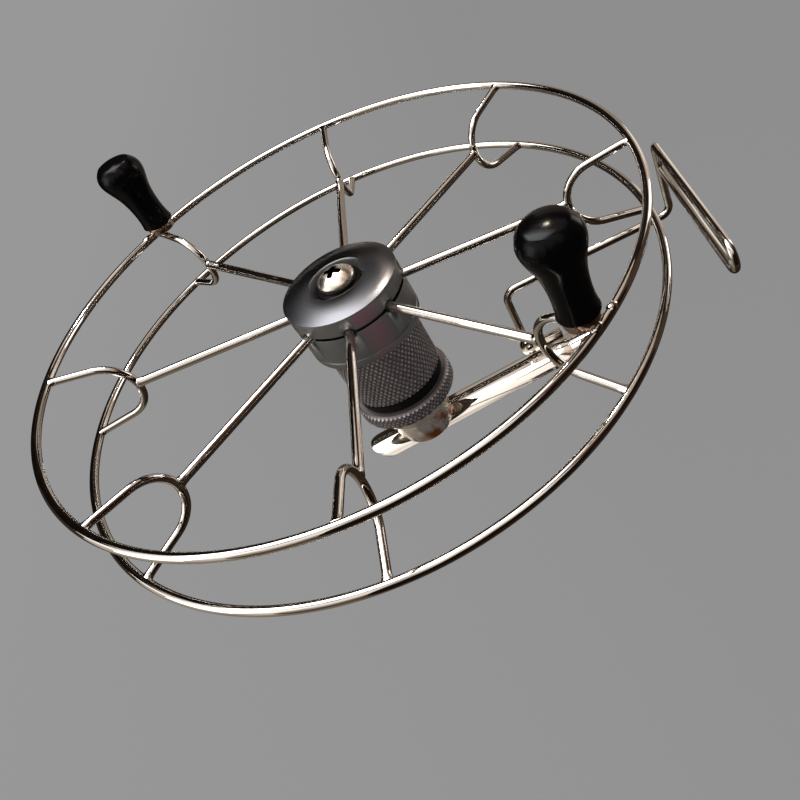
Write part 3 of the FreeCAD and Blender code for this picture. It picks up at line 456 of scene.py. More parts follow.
def cut_away(piece, cutter, sharp=math.radians(35)):
    """Cuts one mesh out of a piece for good."""
    mesh = bpy.data.meshes.new("cutter")
    cutter.to_mesh(mesh)
    cutter.free()
    tool = bpy.data.objects.new("cutter", mesh)
    bpy.context.scene.collection.objects.link(tool)
    modifier = piece.modifiers.new("cut", "BOOLEAN")
    modifier.operation = "DIFFERENCE"
    modifier.solver = "EXACT"
    modifier.object = tool
    graph = bpy.context.evaluated_depsgraph_get()
    result = bpy.data.meshes.new_from_object(piece.evaluated_get(graph))
    piece.modifiers.remove(modifier)
    old = piece.data
    piece.data = result
    bpy.data.meshes.remove(old)
    bpy.data.objects.remove(tool)
    result.name = piece.name
    result.shade_smooth()
    result.set_sharp_from_angle(angle=sharp)


def mark_heat(piece, welds):
    """Marks how near each vertex lies to a weld, for the tint that the weld left."""
    reach = bpy.context.scene.reel_details.heat_reach
    attribute = piece.data.attributes.new("heat", "FLOAT", "POINT")
    values = [math.exp(-(min((vertex.co - weld).length for weld in welds) / reach) ** 2)
              for vertex in piece.data.vertices]
    attribute.data.foreach_set("value", values)


def feed(tree, node, inputs):
    """Sets a node's inputs; those that are given as another node's output are linked to it."""
    for name, value in inputs.items():
        if isinstance(value, bpy.types.NodeSocket):
            tree.links.new(value, node.inputs[name])
        else:
            node.inputs[name].default_value = value


def add_node(tree, kind, inputs=None, **settings):
    """Adds a node with its settings, its input values and its links."""
    node = tree.nodes.new(kind)
    for name, value in settings.items():
        setattr(node, name, value)
    feed(tree, node, inputs or {})
    return node


def made_material(name, paint, kind="ShaderNodeBsdfPrincipled"):
    """A material by its name, made when it is first asked for.

    The paint function gets the tree and the place on a piece in metres, and returns the inputs of
    the shader, which is of the kind given.
    """
    material = bpy.data.materials.get(name)
    if material is None:
        material = bpy.data.materials.new(name)
        material.use_nodes = True
        tree = material.node_tree
        tree.nodes.clear()
        place = add_node(tree, "ShaderNodeTexCoord").outputs["Object"]
        shader = add_node(tree, kind, paint(tree, place))
        add_node(tree, "ShaderNodeOutputMaterial", {"Surface": shader.outputs[0]})
    return material


def patches(tree, place, millimetres, low=0.0, high=1.0, start=0.3, end=0.7, detail=3.0):
    """A value that wanders from low to high in patches of a real size."""
    cloud = add_node(tree, "ShaderNodeTexNoise",
                     {"Vector": place, "Scale": per(millimetres), "Detail": detail})
    return add_node(tree, "ShaderNodeMapRange",
                    {"Value": cloud.outputs["Fac"], "From Min": start, "From Max": end,
                     "To Min": low, "To Max": high}).outputs["Result"]


def relief(tree, place, millimetres, height, detail=3.0):
    """A normal that a height in mm disturbs, in waves or grain of a real size."""
    cloud = add_node(tree, "ShaderNodeTexNoise",
                     {"Vector": place, "Scale": per(millimetres), "Detail": detail})
    return add_node(tree, "ShaderNodeBump",
                    {"Height": cloud.outputs["Fac"], "Strength": 1.0,
                     "Distance": height * MM}).outputs["Normal"]


def towards(tree, place, heading, start, end):
    """How far a place lies along a heading: 0 at the start and 1 at the end, in metres."""
    along = add_node(tree, "ShaderNodeVectorMath", {0: place, 1: heading}, operation="DOT_PRODUCT")
    return add_node(tree, "ShaderNodeMapRange",
                    {"Value": along.outputs["Value"], "From Min": start,
                     "From Max": end}).outputs["Result"]


def by_slope(tree, side, face):
    """A value that runs from a turned piece's sides to the face that it turns upwards."""
    normal = add_node(tree, "ShaderNodeNewGeometry").outputs["Normal"]
    upright = add_node(tree, "ShaderNodeSeparateXYZ", {"Vector": normal}).outputs["Z"]
    return add_node(tree, "ShaderNodeMapRange",
                    {"Value": upright, "From Min": SIDE_SLOPE, "From Max": FACE_SLOPE,
                     "To Min": side, "To Max": face}).outputs["Result"]


def from_spindle(tree, place):
    """The distance from the spindle as a place of its own, so that a pattern runs in rings."""
    flat = add_node(tree, "ShaderNodeVectorMath", {0: place, 1: (1, 1, 0)}, operation="MULTIPLY")
    far = add_node(tree, "ShaderNodeVectorMath", {0: flat.outputs["Vector"]}, operation="LENGTH")
    return add_node(tree, "ShaderNodeCombineXYZ", {"X": far.outputs["Value"]}).outputs["Vector"]


def round_spindle(tree, place):
    """The heading round the spindle, in which a lathe tool leaves its fine lines."""
    heading = add_node(tree, "ShaderNodeVectorMath", {0: place, 1: UP}, operation="CROSS_PRODUCT")
    turned = add_node(tree, "ShaderNodeVectorTransform", {"Vector": heading.outputs["Vector"]},
                      vector_type="VECTOR", convert_from="OBJECT", convert_to="WORLD")
    return turned.outputs["Vector"]


def drawn_stainless():
    """Stainless wire, drawn and polished: a mirror with shallow waves, and straw tints at welds."""
    def paint(tree, place):
        finish = bpy.context.scene.reel_finish
        heat = add_node(tree, "ShaderNodeAttribute", attribute_name="heat").outputs["Fac"]
        stain = add_node(tree, "ShaderNodeMath",
                         {0: heat, 1: patches(tree, place, 2.0, start=0, end=1)},
                         operation="MULTIPLY")
        colour = add_node(tree, "ShaderNodeMix",
                          {0: stain.outputs[0], 6: rgba(finish.wire), 7: rgba(finish.heat)},
                          data_type="RGBA")
        return {"Base Color": colour.outputs[2], "Metallic": 1.0,
                "Roughness": patches(tree, place, 5.0, 0.03, 0.08),
                "Normal": relief(tree, place, 3.0, 0.015, detail=1.0)}
    return made_material("drawn_stainless_wire", paint)


def anodised_aluminium():
    """Aluminium, turned and anodised dark grey: a face with a fanned highlight, and satin sides with
    a red reflection painted down one of them.
    """
    def paint(tree, place):
        finish = bpy.context.scene.reel_finish
        rings = from_spindle(tree, place)
        radius = span("hub_cap")[1]
        # Painted reflection: a red band, in patches, on the side of the hub that faces this heading
        redder = towards(tree, place, REFLECTING_SIDE, radius * REFLECTION_START, radius * REFLECTION_END)
        roughness = add_node(tree, "ShaderNodeMath",
                             {0: patches(tree, rings, 0.35, 0.2, 0.27, detail=2.0),
                              1: by_slope(tree, 0.12, 0)}, operation="ADD")
        band = add_node(tree, "ShaderNodeMath",
                        {0: redder, 1: patches(tree, place, 6.0, 0.4, 1.0, detail=1.0)},
                        operation="MULTIPLY")
        side = add_node(tree, "ShaderNodeMix",
                        {0: band.outputs[0], 6: rgba(finish.hub_side), 7: rgba(finish.hub_painted_reflection)},
                        data_type="RGBA")
        colour = add_node(tree, "ShaderNodeMix",
                          {0: by_slope(tree, 0, 1), 6: side.outputs[2], 7: rgba(finish.hub)},
                          data_type="RGBA")
        return {"Base Color": colour.outputs[2], "Metallic": by_slope(tree, 0.55, 1.0),
                "Roughness": roughness.outputs[0], "Specular IOR Level": 0.3, "Anisotropic": 0.6,
                "Tangent": round_spindle(tree, place),
                "Normal": relief(tree, rings, 0.35, 0.006, detail=2.0)}
    return made_material("turned_anodised_aluminium", paint)


def knurled_aluminium():
    """Aluminium, knurled and anodised nearly black: worn bright points, and darker grooves."""
    def paint(tree, place):
        finish = bpy.context.scene.reel_finish
        crest = add_node(tree, "ShaderNodeAttribute", attribute_name="crest").outputs["Fac"]
        scratched = add_node(tree, "ShaderNodeMath",
                             {0: crest, 1: patches(tree, place, 0.8, start=0, end=1), 2: -0.12},
                             operation="MULTIPLY_ADD")
        worn = add_node(tree, "ShaderNodeMapRange",
                        {"Value": scratched.outputs[0], "From Max": 0.5})
        colour = add_node(tree, "ShaderNodeMix",
                          {0: worn.outputs["Result"], 6: rgba(finish.knurl_low),
                           7: rgba(finish.knurl_high)}, data_type="RGBA")
        return {"Base Color": colour.outputs[2], "Metallic": 0.6,
                "Roughness": patches(tree, place, 1.2, 0.34, 0.5)}
    return made_material("knurled_anodised_aluminium", paint)


def friction_material():
    """Pressed friction material: matt black with a fine grain."""
    def paint(tree, place):
        return {"Base Color": rgba(bpy.context.scene.reel_finish.friction),
                "Roughness": patches(tree, place, 0.5, 0.7, 0.9), "Specular IOR Level": 0.25,
                "Normal": relief(tree, place, 0.35, 0.03, detail=4.0)}
    return made_material("pressed_friction_material", paint)


def plated(name, colour, low, high, wave):
    """Steel, polished and plated: a mirror whose sheet is faintly uneven, with wiping haze."""
    def paint(tree, place):
        darker = [level * 0.88 for level in colour]
        hazy = add_node(tree, "ShaderNodeMix",
                        {0: patches(tree, place, 6.0, start=0, end=1, detail=5.0), 6: rgba(colour),
                         7: rgba(darker)}, data_type="RGBA")
        return {"Base Color": hazy.outputs[2], "Metallic": 1.0,
                "Roughness": patches(tree, place, 6.0, low, high, detail=5.0),
                "Normal": relief(tree, place, 7.0, wave, detail=1.0)}
    return made_material(name, paint)


def moulded_plastic():
    """ABS, moulded black: satin gloss with the mould's fine texture and fingerprints."""
    def paint(tree, place):
        return {"Base Color": rgba(bpy.context.scene.reel_finish.knob),
                "Roughness": patches(tree, place, 3.0, 0.12, 0.2, detail=4.0), "IOR": 1.53,
                "Specular IOR Level": 0.08, "Normal": relief(tree, place, 0.4, 0.004, detail=2.0)}
    return made_material("moulded_black_abs", paint)


def ground_steel():
    """Bearing and spindle steel, turned and ground: bright rings round the spindle."""
    def paint(tree, place):
        steel = bpy.context.scene.reel_finish.steel
        darker = [level * 0.75 for level in steel]
        colour = add_node(tree, "ShaderNodeMix",
                          {0: patches(tree, place, 2.0, start=0, end=1), 6: rgba(steel),
                           7: rgba(darker)}, data_type="RGBA")
        rings = from_spindle(tree, place)
        return {"Base Color": colour.outputs[2], "Metallic": 1.0, "Anisotropic": 0.5,
                "Roughness": patches(tree, rings, 0.3, 0.16, 0.28, detail=2.0),
                "Tangent": round_spindle(tree, place)}
    return made_material("ground_bearing_steel", paint)


def screw_plate():
    """Steel, plated with zinc: a satin warm white, with painted shade and old grease in the recess.
    """
    def paint(tree, place):
        finish = bpy.context.scene.reel_finish
        clean = add_node(tree, "ShaderNodeMix",
                         {0: patches(tree, place, 3.0, 0.0, 0.5, detail=4.0), 6: rgba(finish.screw),
                          7: rgba(finish.heat)}, data_type="RGBA")
        recess = add_node(tree, "ShaderNodeAttribute", attribute_name="recess").outputs["Fac"]
        # Painted shade: the faces of the cross recess take a near black, along with old grease
        colour = add_node(tree, "ShaderNodeMix",
                          {0: recess, 6: clean.outputs[2], 7: rgba(finish.recess_shade)},
                          data_type="RGBA")
        return {"Base Color": colour.outputs[2], "Metallic": 1.0,
                "Roughness": patches(tree, place, 3.0, 0.16, 0.34, detail=4.0),
                "Normal": relief(tree, place, 2.5, 0.04, detail=1.0)}
    return made_material("bright_zinc_plate", paint)


def plate_with_painted_reflection():
    """Steel, nickel plated, with a warm reflection painted on one side in soft copper patches."""
    def paint(tree, place):
        finish = bpy.context.scene.reel_finish
        # Painted reflection: warm copper patches on the side of the boss that faces this heading
        worn = add_node(tree, "ShaderNodeMath",
                        {0: towards(tree, place, WARM_REFLECTION_SIDE, -WARM_REFLECTION_FADE, WARM_REFLECTION_FADE),
                         1: patches(tree, place, 5.0, start=0.4, end=0.56, detail=2.0)},
                        operation="MULTIPLY")
        colour = add_node(tree, "ShaderNodeMix",
                          {0: worn.outputs[0], 6: rgba(finish.plate), 7: rgba(finish.worn)},
                          data_type="RGBA")
        return {"Base Color": colour.outputs[2], "Metallic": 0.75,
                "Roughness": patches(tree, place, 4.0, 0.12, 0.24),
                "Normal": relief(tree, place, 5.0, 0.08, detail=1.0)}
    return made_material("worn_nickel_plate", paint)


def nickel_plate():
    """Steel, satin nickel plated: a soft warm cream."""
    def paint(tree, place):
        finish = bpy.context.scene.reel_finish
        colour = add_node(tree, "ShaderNodeMix",
                          {0: patches(tree, place, 4.0, 0.0, 0.4, detail=4.0),
                           6: rgba(finish.collar), 7: rgba(finish.heat)}, data_type="RGBA")
        return {"Base Color": colour.outputs[2], "Metallic": 0.6,
                "Roughness": patches(tree, place, 4.0, 0.2, 0.36, detail=4.0),
                "Normal": relief(tree, place, 6.0, 0.03, detail=1.0)}
    return made_material("satin_nickel_plate", paint)


def black_oxide():
    """Steel, blackened in a hot bath: satin black, greyer where it is handled."""
    return plated("black_oxide_steel", bpy.context.scene.reel_finish.oxide, 0.3, 0.5, 0.02)


def chrome_plate():
    """The chrome plate of the foot and the brake's saddle."""
    return plated("bright_chrome_plate", bpy.context.scene.reel_finish.plate, 0.03, 0.09, 0.03)


def lug_plate():
    """The dull nickel plate of the knob lugs and axles."""
    return plated("dull_nickel_plate", bpy.context.scene.reel_finish.lug, 0.15, 0.3, 0.05)


def rim_middle(node):
    """A rim ring's centre line radius and height, and its wire's radius."""
    inner, outer, low, high = span(node)
    return (inner + outer) / 2, (low + high) / 2, (outer - inner) / 2


def build_rim(node):
    """A rim ring: one round section turned about the spindle."""
    radius, height, wire = rim_middle(node)
    bm = bmesh.new()
    round_section(bm, (radius, 0, height), (0, 1, 0), wire)
    turn_section(bm, RIM_STEPS)
    rim = piece_of(bm, node + "_wire", "spool", drawn_stainless(), [node])
    welded = ["hoop_%d" % number for number in range(1, SPOKE_COUNT + 1)]
    if node == "rim_front":
        welded += ["knob_lug_a", "knob_lug_b"]
    mark_heat(rim, [about_spindle(azimuth(name)) @ Vector((radius, 0, height)) for name in welded])


def build_hoop(number):
    """A hoop: two flared legs and the bend that joins them, welded to both rims."""
    node = "hoop_%d" % number
    details = bpy.context.scene.reel_details
    ring, front, ring_wire = rim_middle("rim_front")
    rear = rim_middle("rim_rear")[1]
    wire = details.hoop_wire / 2
    bottom = span(node)[0] + wire
    sine, cosine = math.sin(details.hoop_flare), math.cos(details.hoop_flare)
    middle = (front + rear) / 2
    half = (front - rear) / 2
    centre = (bottom + half * cosine - ring * sine) / (1 - sine)
    bend = centre - bottom
    held_back = ring_wire - details.weld_depth
    inward = Vector((-cosine, 0, -sine))
    start = Vector((ring, 0, front)) + inward * held_back
    leg = (start - Vector((centre - bend * sine, 0, middle + bend * cosine))).length
    reach = details.weld_reach
    swell = (0, details.weld_swell, 0)
    bm = bmesh.new()
    ring_edges = round_section(bm, start, inward, wire)
    bmesh.ops.scale(bm, verts=bm.verts, vec=(1, 1 + details.weld_swell, 1),
                    space=Matrix.Translation(-start))
    bmesh.ops.contextual_create(bm, geom=ring_edges)
    ring_edges = run_through_weld(bm, ring_edges, inward, reach, swell, True)
    ring_edges = run_on(bm, ring_edges, inward * (leg - reach))
    ring_edges = bend_on(bm, ring_edges, (centre, 0, middle), (0, -1, 0),
                         math.pi - 2 * details.hoop_flare, BEND_STEPS)
    outward = Vector((cosine, 0, -sine))
    ring_edges = run_on(bm, ring_edges, outward * (leg - reach))
    ring_edges = run_through_weld(bm, ring_edges, outward, reach, swell, False)
    bmesh.ops.contextual_create(bm, geom=ring_edges)
    turn = about_spindle(azimuth(node))
    bmesh.ops.transform(bm, matrix=turn, verts=bm.verts)
    hoop = piece_of(bm, node + "_wire", "spool", drawn_stainless(), [node])
    mark_heat(hoop, [turn @ Vector(place) for place in
                     ((ring, 0, front), (ring, 0, rear), (bottom, 0, middle))])


def build_spoke(number):
    """A straight spoke, welded to its hoop's bend."""
    node = "spoke_%d" % number
    details = bpy.context.scene.reel_details
    inner, _, low, high = span(node)
    wire = (high - low) / 2
    height = (high + low) / 2
    end = span("hoop_%d" % number)[0] + details.weld_depth
    heading = Vector((1, 0, 0))
    reach = details.weld_reach
    bm = bmesh.new()
    ring_edges = round_section(bm, (inner, 0, height), heading, wire)
    bmesh.ops.contextual_create(bm, geom=ring_edges)
    ring_edges = run_on(bm, ring_edges, heading * (end - inner - reach))
    ring_edges = run_through_weld(bm, ring_edges, heading, reach, SPOKE_SWELL, False)
    close_end(bm, ring_edges, heading, wire)
    turn = about_spindle(azimuth(node))
    bmesh.ops.transform(bm, matrix=turn, verts=bm.verts)
    spoke = piece_of(bm, node + "_wire", "spool", drawn_stainless(), [node])
    mark_heat(spoke, [turn @ Vector((end, 0, height))])


def spoke_holes(inner, outer):
    """The forms that the spoke holes are cut with."""
    _, _, low, high = span("spoke_1")
    details = bpy.context.scene.reel_details
    radius = (high - low) / 2 + details.hole_gap
    cutter = bmesh.new()
    for number in range(1, SPOKE_COUNT + 1):
        turn = about_spindle(azimuth("spoke_%d" % number))
        place = Matrix.Translation(((inner + outer) / 2, 0, (low + high) / 2))
        bmesh.ops.create_cone(cutter, cap_ends=True, cap_tris=False, segments=HOLE_STEPS,
                              radius1=radius, radius2=radius, depth=outer - inner,
                              matrix=turn @ place @ Matrix.Rotation(math.pi / 2, 4, "Y"))
    return cutter


def build_hub():
    """The hub cap and the hub body: turned anew, with a dark hole round each spoke."""
    details = bpy.context.scene.reel_details
    recess, cap_radius, parting, rim = span("hub_cap")
    for node in ("hub_cap", "hub_body"):
        bm = half_section(node)
        face = [edge for edge in bm.edges if all(vert.co.z > rim - NEAR for vert in edge.verts)]
        bmesh.ops.subdivide_edges(bm, edges=face, cuts=CROWN_STEPS)
        for vert in bm.verts:
            if vert.co.z > rim - NEAR:
                vert.co.z -= details.cap_crown * ((vert.co.x - recess) / (cap_radius - recess)) ** 2
        if node == "hub_body":
            step_corner(bm, Vector((span(node)[1], 0, parting)), details.parting_gap)
        round_corners(bm, details.rim_break,
                      lambda place: place.x < recess + NEAR and place.z > rim - NEAR)
        round_corners(bm, details.body_break,
                      lambda place: place.x > cap_radius - AWAY / 2 and place.z < parting - AWAY)
        if node == "hub_body":
            groove_wall(bm, span(node)[1], details.lip_height, details.lip_groove)
        round_corners(bm, details.edge_break)
        turn_section(bm, FINE_STEPS)
        piece = piece_of(bm, node + "_turned", "spool", anodised_aluminium(),
                         [node])
        cut_away(piece, spoke_holes(span("spoke_1")[0], cap_radius + HOLE_OVERRUN))


def raise_knurl(bm, faces, depth):
    """Raises a point over each edge that two cells of a skin share, and over each border edge."""
    skin = set(faces)
    edges = {edge for face in faces for edge in face.edges}
    border = [edge for edge in edges if len(skin & set(edge.link_faces)) == 1]
    shared = [edge for edge in edges if edge not in set(border)]
    middles = bmesh.ops.poke(bm, faces=faces, offset=0, center_mode="MEAN")["verts"]
    bmesh.ops.dissolve_edges(bm, edges=shared, use_verts=False)
    bm.normal_update()
    diamonds = [face for face in {face for vert in middles for face in vert.link_faces}
                if len(face.verts) == 4]
    bmesh.ops.poke(bm, faces=diamonds, offset=depth, center_mode="MEAN")
    tips = fresh_verts(bmesh.ops.subdivide_edges(bm, edges=border, cuts=1)["geom_inner"])
    for tip in tips:
        tip.co.xy *= 1 + depth / tip.co.xy.length
    return tips


def knurled_wall(bm, radius, depth):
    """The cells of a skin that stands a knurl's depth inside a radius."""
    return [face for face in bm.faces
            if all(abs(vert.co.xy.length - radius + depth) < NEAR for vert in face.verts)]


def mark_crests(piece, chosen):
    """Marks the knurl's points, for their worn finish."""
    attribute = piece.data.attributes.new("crest", "FLOAT", "POINT")
    values = [1.0 if chosen(vertex.co) else 0.0 for vertex in piece.data.vertices]
    attribute.data.foreach_set("value", values)


def build_barrel():
    """The drag barrel: a skin of cells round the spindle, raised into a diamond knurl."""
    details = bpy.context.scene.reel_details
    bore, radius, low, high = span("drag_barrel")
    depth, lip = details.knurl_depth, details.knurl_lip
    skin = radius - depth
    length = high - low - 2 * lip
    rows = round(length / details.knurl_along)
    outline = [(bore, low), (skin - lip, low)]
    outline += [(skin, low + lip + length * row / rows) for row in range(rows + 1)]
    outline += [(skin - lip, high), (bore, high)]
    bm = section_of(outline)
    turn_section(bm, round(math.tau * radius / details.knurl_round))
    raise_knurl(bm, knurled_wall(bm, radius, depth), depth)
    barrel = piece_of(bm, "drag_barrel_knurled", "spool", knurled_aluminium(),
                      ["drag_barrel"], sharp=KNURL_SHARP)
    mark_crests(barrel, lambda place: place.xy.length > radius - depth * WORN_DEPTH)


def build_tension_ring():
    """The tension ring: the same knurl round its edge, which runs out into a plain bevel."""
    details = bpy.context.scene.reel_details
    _, radius, low, high = span("tension_ring")
    depth = details.knurl_depth
    bm = half_section("tension_ring")
    round_corners(bm, details.edge_break, lambda place: place.x < radius - AWAY)
    wall = [vert for vert in bm.verts if vert.co.x > radius - NEAR]
    bmesh.ops.translate(bm, verts=wall, vec=(-depth, 0, 0))
    bevel_foot = max(wall, key=lambda vert: vert.co.z)
    bevel_foot.co.z += depth
    bmesh.ops.subdivide_edges(bm, edges=[edge for edge in bm.edges if set(edge.verts) <= set(wall)],
                              cuts=1)
    turn_section(bm, round(math.tau * radius / details.knurl_round))
    for tip in raise_knurl(bm, knurled_wall(bm, radius, depth), depth):
        if tip.co.z > (low + high) / 2:
            tip.co.z -= depth
    ring = piece_of(bm, "tension_ring_knurled", "tension_ring", knurled_aluminium(),
                    ["tension_ring"], sharp=KNURL_SHARP)
    mark_crests(ring, lambda place: place.xy.length > radius - depth * WORN_DEPTH)


def build_screw():
    """The cap screw: a domed head with a tapered cross recess."""
    details = bpy.context.scene.reel_details
    _, head, low, _ = span("cap_screw")
    washer_top = span("cap_washer")[3]
    side = washer_top + details.screw_side
    top = side + details.screw_dome
    dome = (head ** 2 + details.screw_dome ** 2) / (2 * details.screw_dome)
    bm = bmesh.new()
    crown = bm.verts.new((0, 0, top))
    angle = math.asin(head / dome)
    made = bmesh.ops.spin(bm, geom=[crown], cent=(0, 0, top - dome), axis=(0, 1, 0), dvec=ORIGIN,
                          angle=angle, steps=DOME_STEPS, use_merge=False, use_duplicate=False)
    last = fresh_verts(made["geom_last"])[0]
    shank = details.screw_shank
    for radius, height in ((head, washer_top), (shank, washer_top), (shank, low), (0, low)):
        following = bm.verts.new((radius, 0, height))
        bm.edges.new((last, following))
        last = following
    round_corners(bm, details.screw_edge)
    turn_section(bm, SMALL_STEPS)
    screw = piece_of(bm, "cap_screw_turned", "base", screw_plate(), ["cap_screw"])
    for turn in (0, 1):
        bar = bmesh.new()
        bmesh.ops.create_cube(bar, size=1)
        lower = [vert for vert in bar.verts if vert.co.z < 0]
        bmesh.ops.scale(bar, verts=lower, vec=CROSS_TAPER)
        place = Matrix.Translation((0, 0, top - details.cross_depth / 2 + CROSS_OVERRUN))
        sizes = Matrix.Diagonal((details.cross_length, details.cross_width, details.cross_depth, 1))
        quarter = about_spindle(math.pi / 2 * turn + details.cross_angle)
        bmesh.ops.transform(bar, verts=bar.verts, matrix=quarter @ place @ sizes)
        break_edges(bar, details.cross_edge)
        cut_away(screw, bar)
    # Marks the faces of the cross recess, which the finish darkens with painted shade
    attribute = screw.data.attributes.new("recess", "FLOAT", "FACE")
    centre = Vector((0, 0, top - dome))
    reach = details.cross_length / 2
    sunk = [face.center.z > side and (face.center - centre).length < dome - details.cross_edge / 2
            and face.center.xy.length < reach for face in screw.data.polygons]
    attribute.data.foreach_set("value", [float(value) for value in sunk])


def curved_strip(left, right, half_width, outer, thickness):
    """A sheet curved about the rod, with round ends when seen from above."""
    bm = bmesh.new()
    bmesh.ops.create_grid(bm, x_segments=FOOT_STEPS[0], y_segments=FOOT_STEPS[1], size=1)
    for vert in bm.verts:
        across = math.sin(vert.co.y * math.pi / 2) * half_width
        bulge = math.sqrt(max(half_width ** 2 - across ** 2, 0))
        along = (vert.co.x + 1) / 2
        start, end = left + half_width - bulge, right - half_width + bulge
        vert.co = (start + (end - start) * along, across, math.sqrt(outer ** 2 - across ** 2))
    bmesh.ops.recalc_face_normals(bm, faces=bm.faces)
    if sum(face.normal.z for face in bm.faces) < 0:
        bmesh.ops.reverse_faces(bm, faces=bm.faces)
    bmesh.ops.solidify(bm, geom=bm.faces[:], thickness=thickness)
    return bm


def build_foot():
    """The rod foot: a curved strip with round ends, and the boss that holds the spindle."""
    details = bpy.context.scene.reel_details
    low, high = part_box("foot")
    outer = details.foot_outer
    bm = curved_strip(low.x, high.x, details.foot_half, outer, details.foot_sheet)
    break_edges(bm, details.foot_edge, least=math.radians(60))
    piece_of(bm, "foot_strip", "base", chrome_plate(), ["foot"])
    top = high.z
    waist = top - details.boss_waist
    base = top - details.boss_depth
    bore = span("spindle")[1] - details.boss_grip
    bm = section_of([(bore, base), (details.boss_foot, base), (details.boss_radius, waist),
                     (details.boss_radius, top), (bore, top)])
    round_corners(bm, details.boss_edge)
    turn_section(bm)
    boss = piece_of(bm, "foot_boss", "base", plate_with_painted_reflection())
    rod = bmesh.new()
    radius = outer - details.foot_sheet
    bmesh.ops.create_cone(rod, cap_ends=True, cap_tris=False, segments=FINE_STEPS,
                          radius1=radius, radius2=radius, depth=4 * details.boss_radius,
                          matrix=Matrix.Rotation(math.pi / 2, 4, "Y"))
    cut_away(boss, rod)


def build_knob(letter):
    """A knob turned anew about its own axle, with its lug and axle."""
    centre = middle_of("knob_" + letter)
    place = (centre.x, centre.y)
    details = bpy.context.scene.reel_details
    turned_again("knob_" + letter, "knob_" + letter, moulded_plastic(),
                 FINE_STEPS, place, details.knob_edge)
    turned_again("knob_lug_" + letter, "spool", lug_plate(),
                 SMALL_STEPS, place, details.knob_edge)
    turned_again("knob_axle_" + letter, "spool", lug_plate(),
                 AXLE_STEPS, place, details.axle_edge)
    build_beads(letter, centre)


def build_beads(letter, centre):
    """The lumps of weld that join a knob's lug to the front rim ring."""
    ring, height, _ = rim_middle("rim_front")
    details = bpy.context.scene.reel_details
    along = math.atan2(centre.y, centre.x)
    centres = []
    bm = bmesh.new()
    for turn, inward, rise, size in BEADS:
        angle = along + math.radians(turn)
        place = about_spindle(angle) @ Vector((ring - inward * MM, 0, height + rise * MM))
        centres.append(place)
        shape = about_spindle(angle) @ Matrix.Diagonal((*BEAD_SHAPE, 1))
        bmesh.ops.create_icosphere(bm, subdivisions=BEAD_DIVISIONS, radius=details.bead * size,
                                   matrix=Matrix.Translation(place) @ shape)
    for vert in bm.verts:
        vert.co += vert.normal * noise.noise(vert.co / details.bead_lump) * details.bead_rise
    beads = piece_of(bm, "knob_weld_" + letter, "spool", drawn_stainless())
    mark_heat(beads, centres)


class BuildRims(bpy.types.Operator):
    """Bend the two rim rings"""

    bl_idname = "reel.rims"
    bl_label = "Rim rings"

    def execute(self, context):
        build_rim("rim_front")
        build_rim("rim_rear")
        return {"FINISHED"}


class BuildHoops(bpy.types.Operator):
    """Bend the hoops that bridge the rings"""

    bl_idname = "reel.hoops"
    bl_label = "Hoops"

    def execute(self, context):
        for number in range(1, SPOKE_COUNT + 1):
            build_hoop(number)
        return {"FINISHED"}


class BuildSpokes(bpy.types.Operator):
    """Draw the straight spokes"""

    bl_idname = "reel.spokes"
    bl_label = "Spokes"

    def execute(self, context):
        for number in range(1, SPOKE_COUNT + 1):
            build_spoke(number)
        return {"FINISHED"}


class BuildHub(bpy.types.Operator):
    """Turn the hub cap and the hub body"""

    bl_idname = "reel.hub"
    bl_label = "Hub"

    def execute(self, context):
        build_hub()
        return {"FINISHED"}


class BuildDrag(bpy.types.Operator):
    """Turn and knurl the drag barrel, the friction ring and the tension ring"""

    bl_idname = "reel.drag"
    bl_label = "Drag"

    def execute(self, context):
        build_barrel()
        turned_again("friction_ring", "base", friction_material())
        build_tension_ring()
        return {"FINISHED"}


class BuildFittings(bpy.types.Operator):
    """Turn the collar, the washers and the cap screw"""

    bl_idname = "reel.fittings"
    bl_label = "Collar, washers and screw"

    def execute(self, context):
        details = context.scene.reel_details
        turned_again("collar", "base", nickel_plate(), width=details.collar_edge)
        turned_again("cap_bush", "base", black_oxide())
        turned_again("cap_washer", "base", black_oxide())
        smoothed("lock_washer", "base", nickel_plate(), details.washer_edge)
        build_screw()
        return {"FINISHED"}


class BuildFoot(bpy.types.Operator):
    """Form the rod foot and the brake's saddle"""

    bl_idname = "reel.foot"
    bl_label = "Foot"

    def execute(self, context):
        build_foot()
        smoothed("brake_saddle", "base", chrome_plate(),
                 context.scene.reel_details.saddle_edge)
        return {"FINISHED"}


class BuildBrake(bpy.types.Operator):
    """Bend the brake wire"""

    bl_idname = "reel.brake"
    bl_label = "Brake wire"

    def execute(self, context):
        smoothed("brake_lever", "brake_lever", drawn_stainless(),
                 context.scene.reel_details.lever_edge)
        return {"FINISHED"}


class BuildKnobs(bpy.types.Operator):
    """Mould the two knobs and turn their lugs and axles"""

    bl_idname = "reel.knobs"
    bl_label = "Knobs"

    def execute(self, context):
        build_knob("a")
        build_knob("b")
        return {"FINISHED"}


class FinishInside(bpy.types.Operator):
    """Give the bearings, the spacer, the springs and the spindle their finish"""

    bl_idname = "reel.inside"
    bl_label = "Bearings and spindle"

    def execute(self, context):
        names = [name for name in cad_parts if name.startswith("bearing_")]
        for name in names + ["disc_springs", "retaining_ring", "spindle"]:
            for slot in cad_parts[name].material_slots:
                slot.material = ground_steel()
        return {"FINISHED"}


def reel_middle():
    """The middle of the wheel, which the studio stands round."""
    return (middle_of("rim_front") + middle_of("rim_rear")) / 2


def seen_and_mirrored(tree):
    """1 for rays from the camera, and for those that a surface mirrors or lets through."""
    path = add_node(tree, "ShaderNodeLightPath").outputs
    either = add_node(tree, "ShaderNodeMath", {0: path["Is Camera Ray"], 1: path["Is Glossy Ray"]},
                      operation="MAXIMUM")
    return add_node(tree, "ShaderNodeMath", {0: either.outputs[0], 1: path["Is Transmission Ray"]},
                    operation="MAXIMUM").outputs[0]


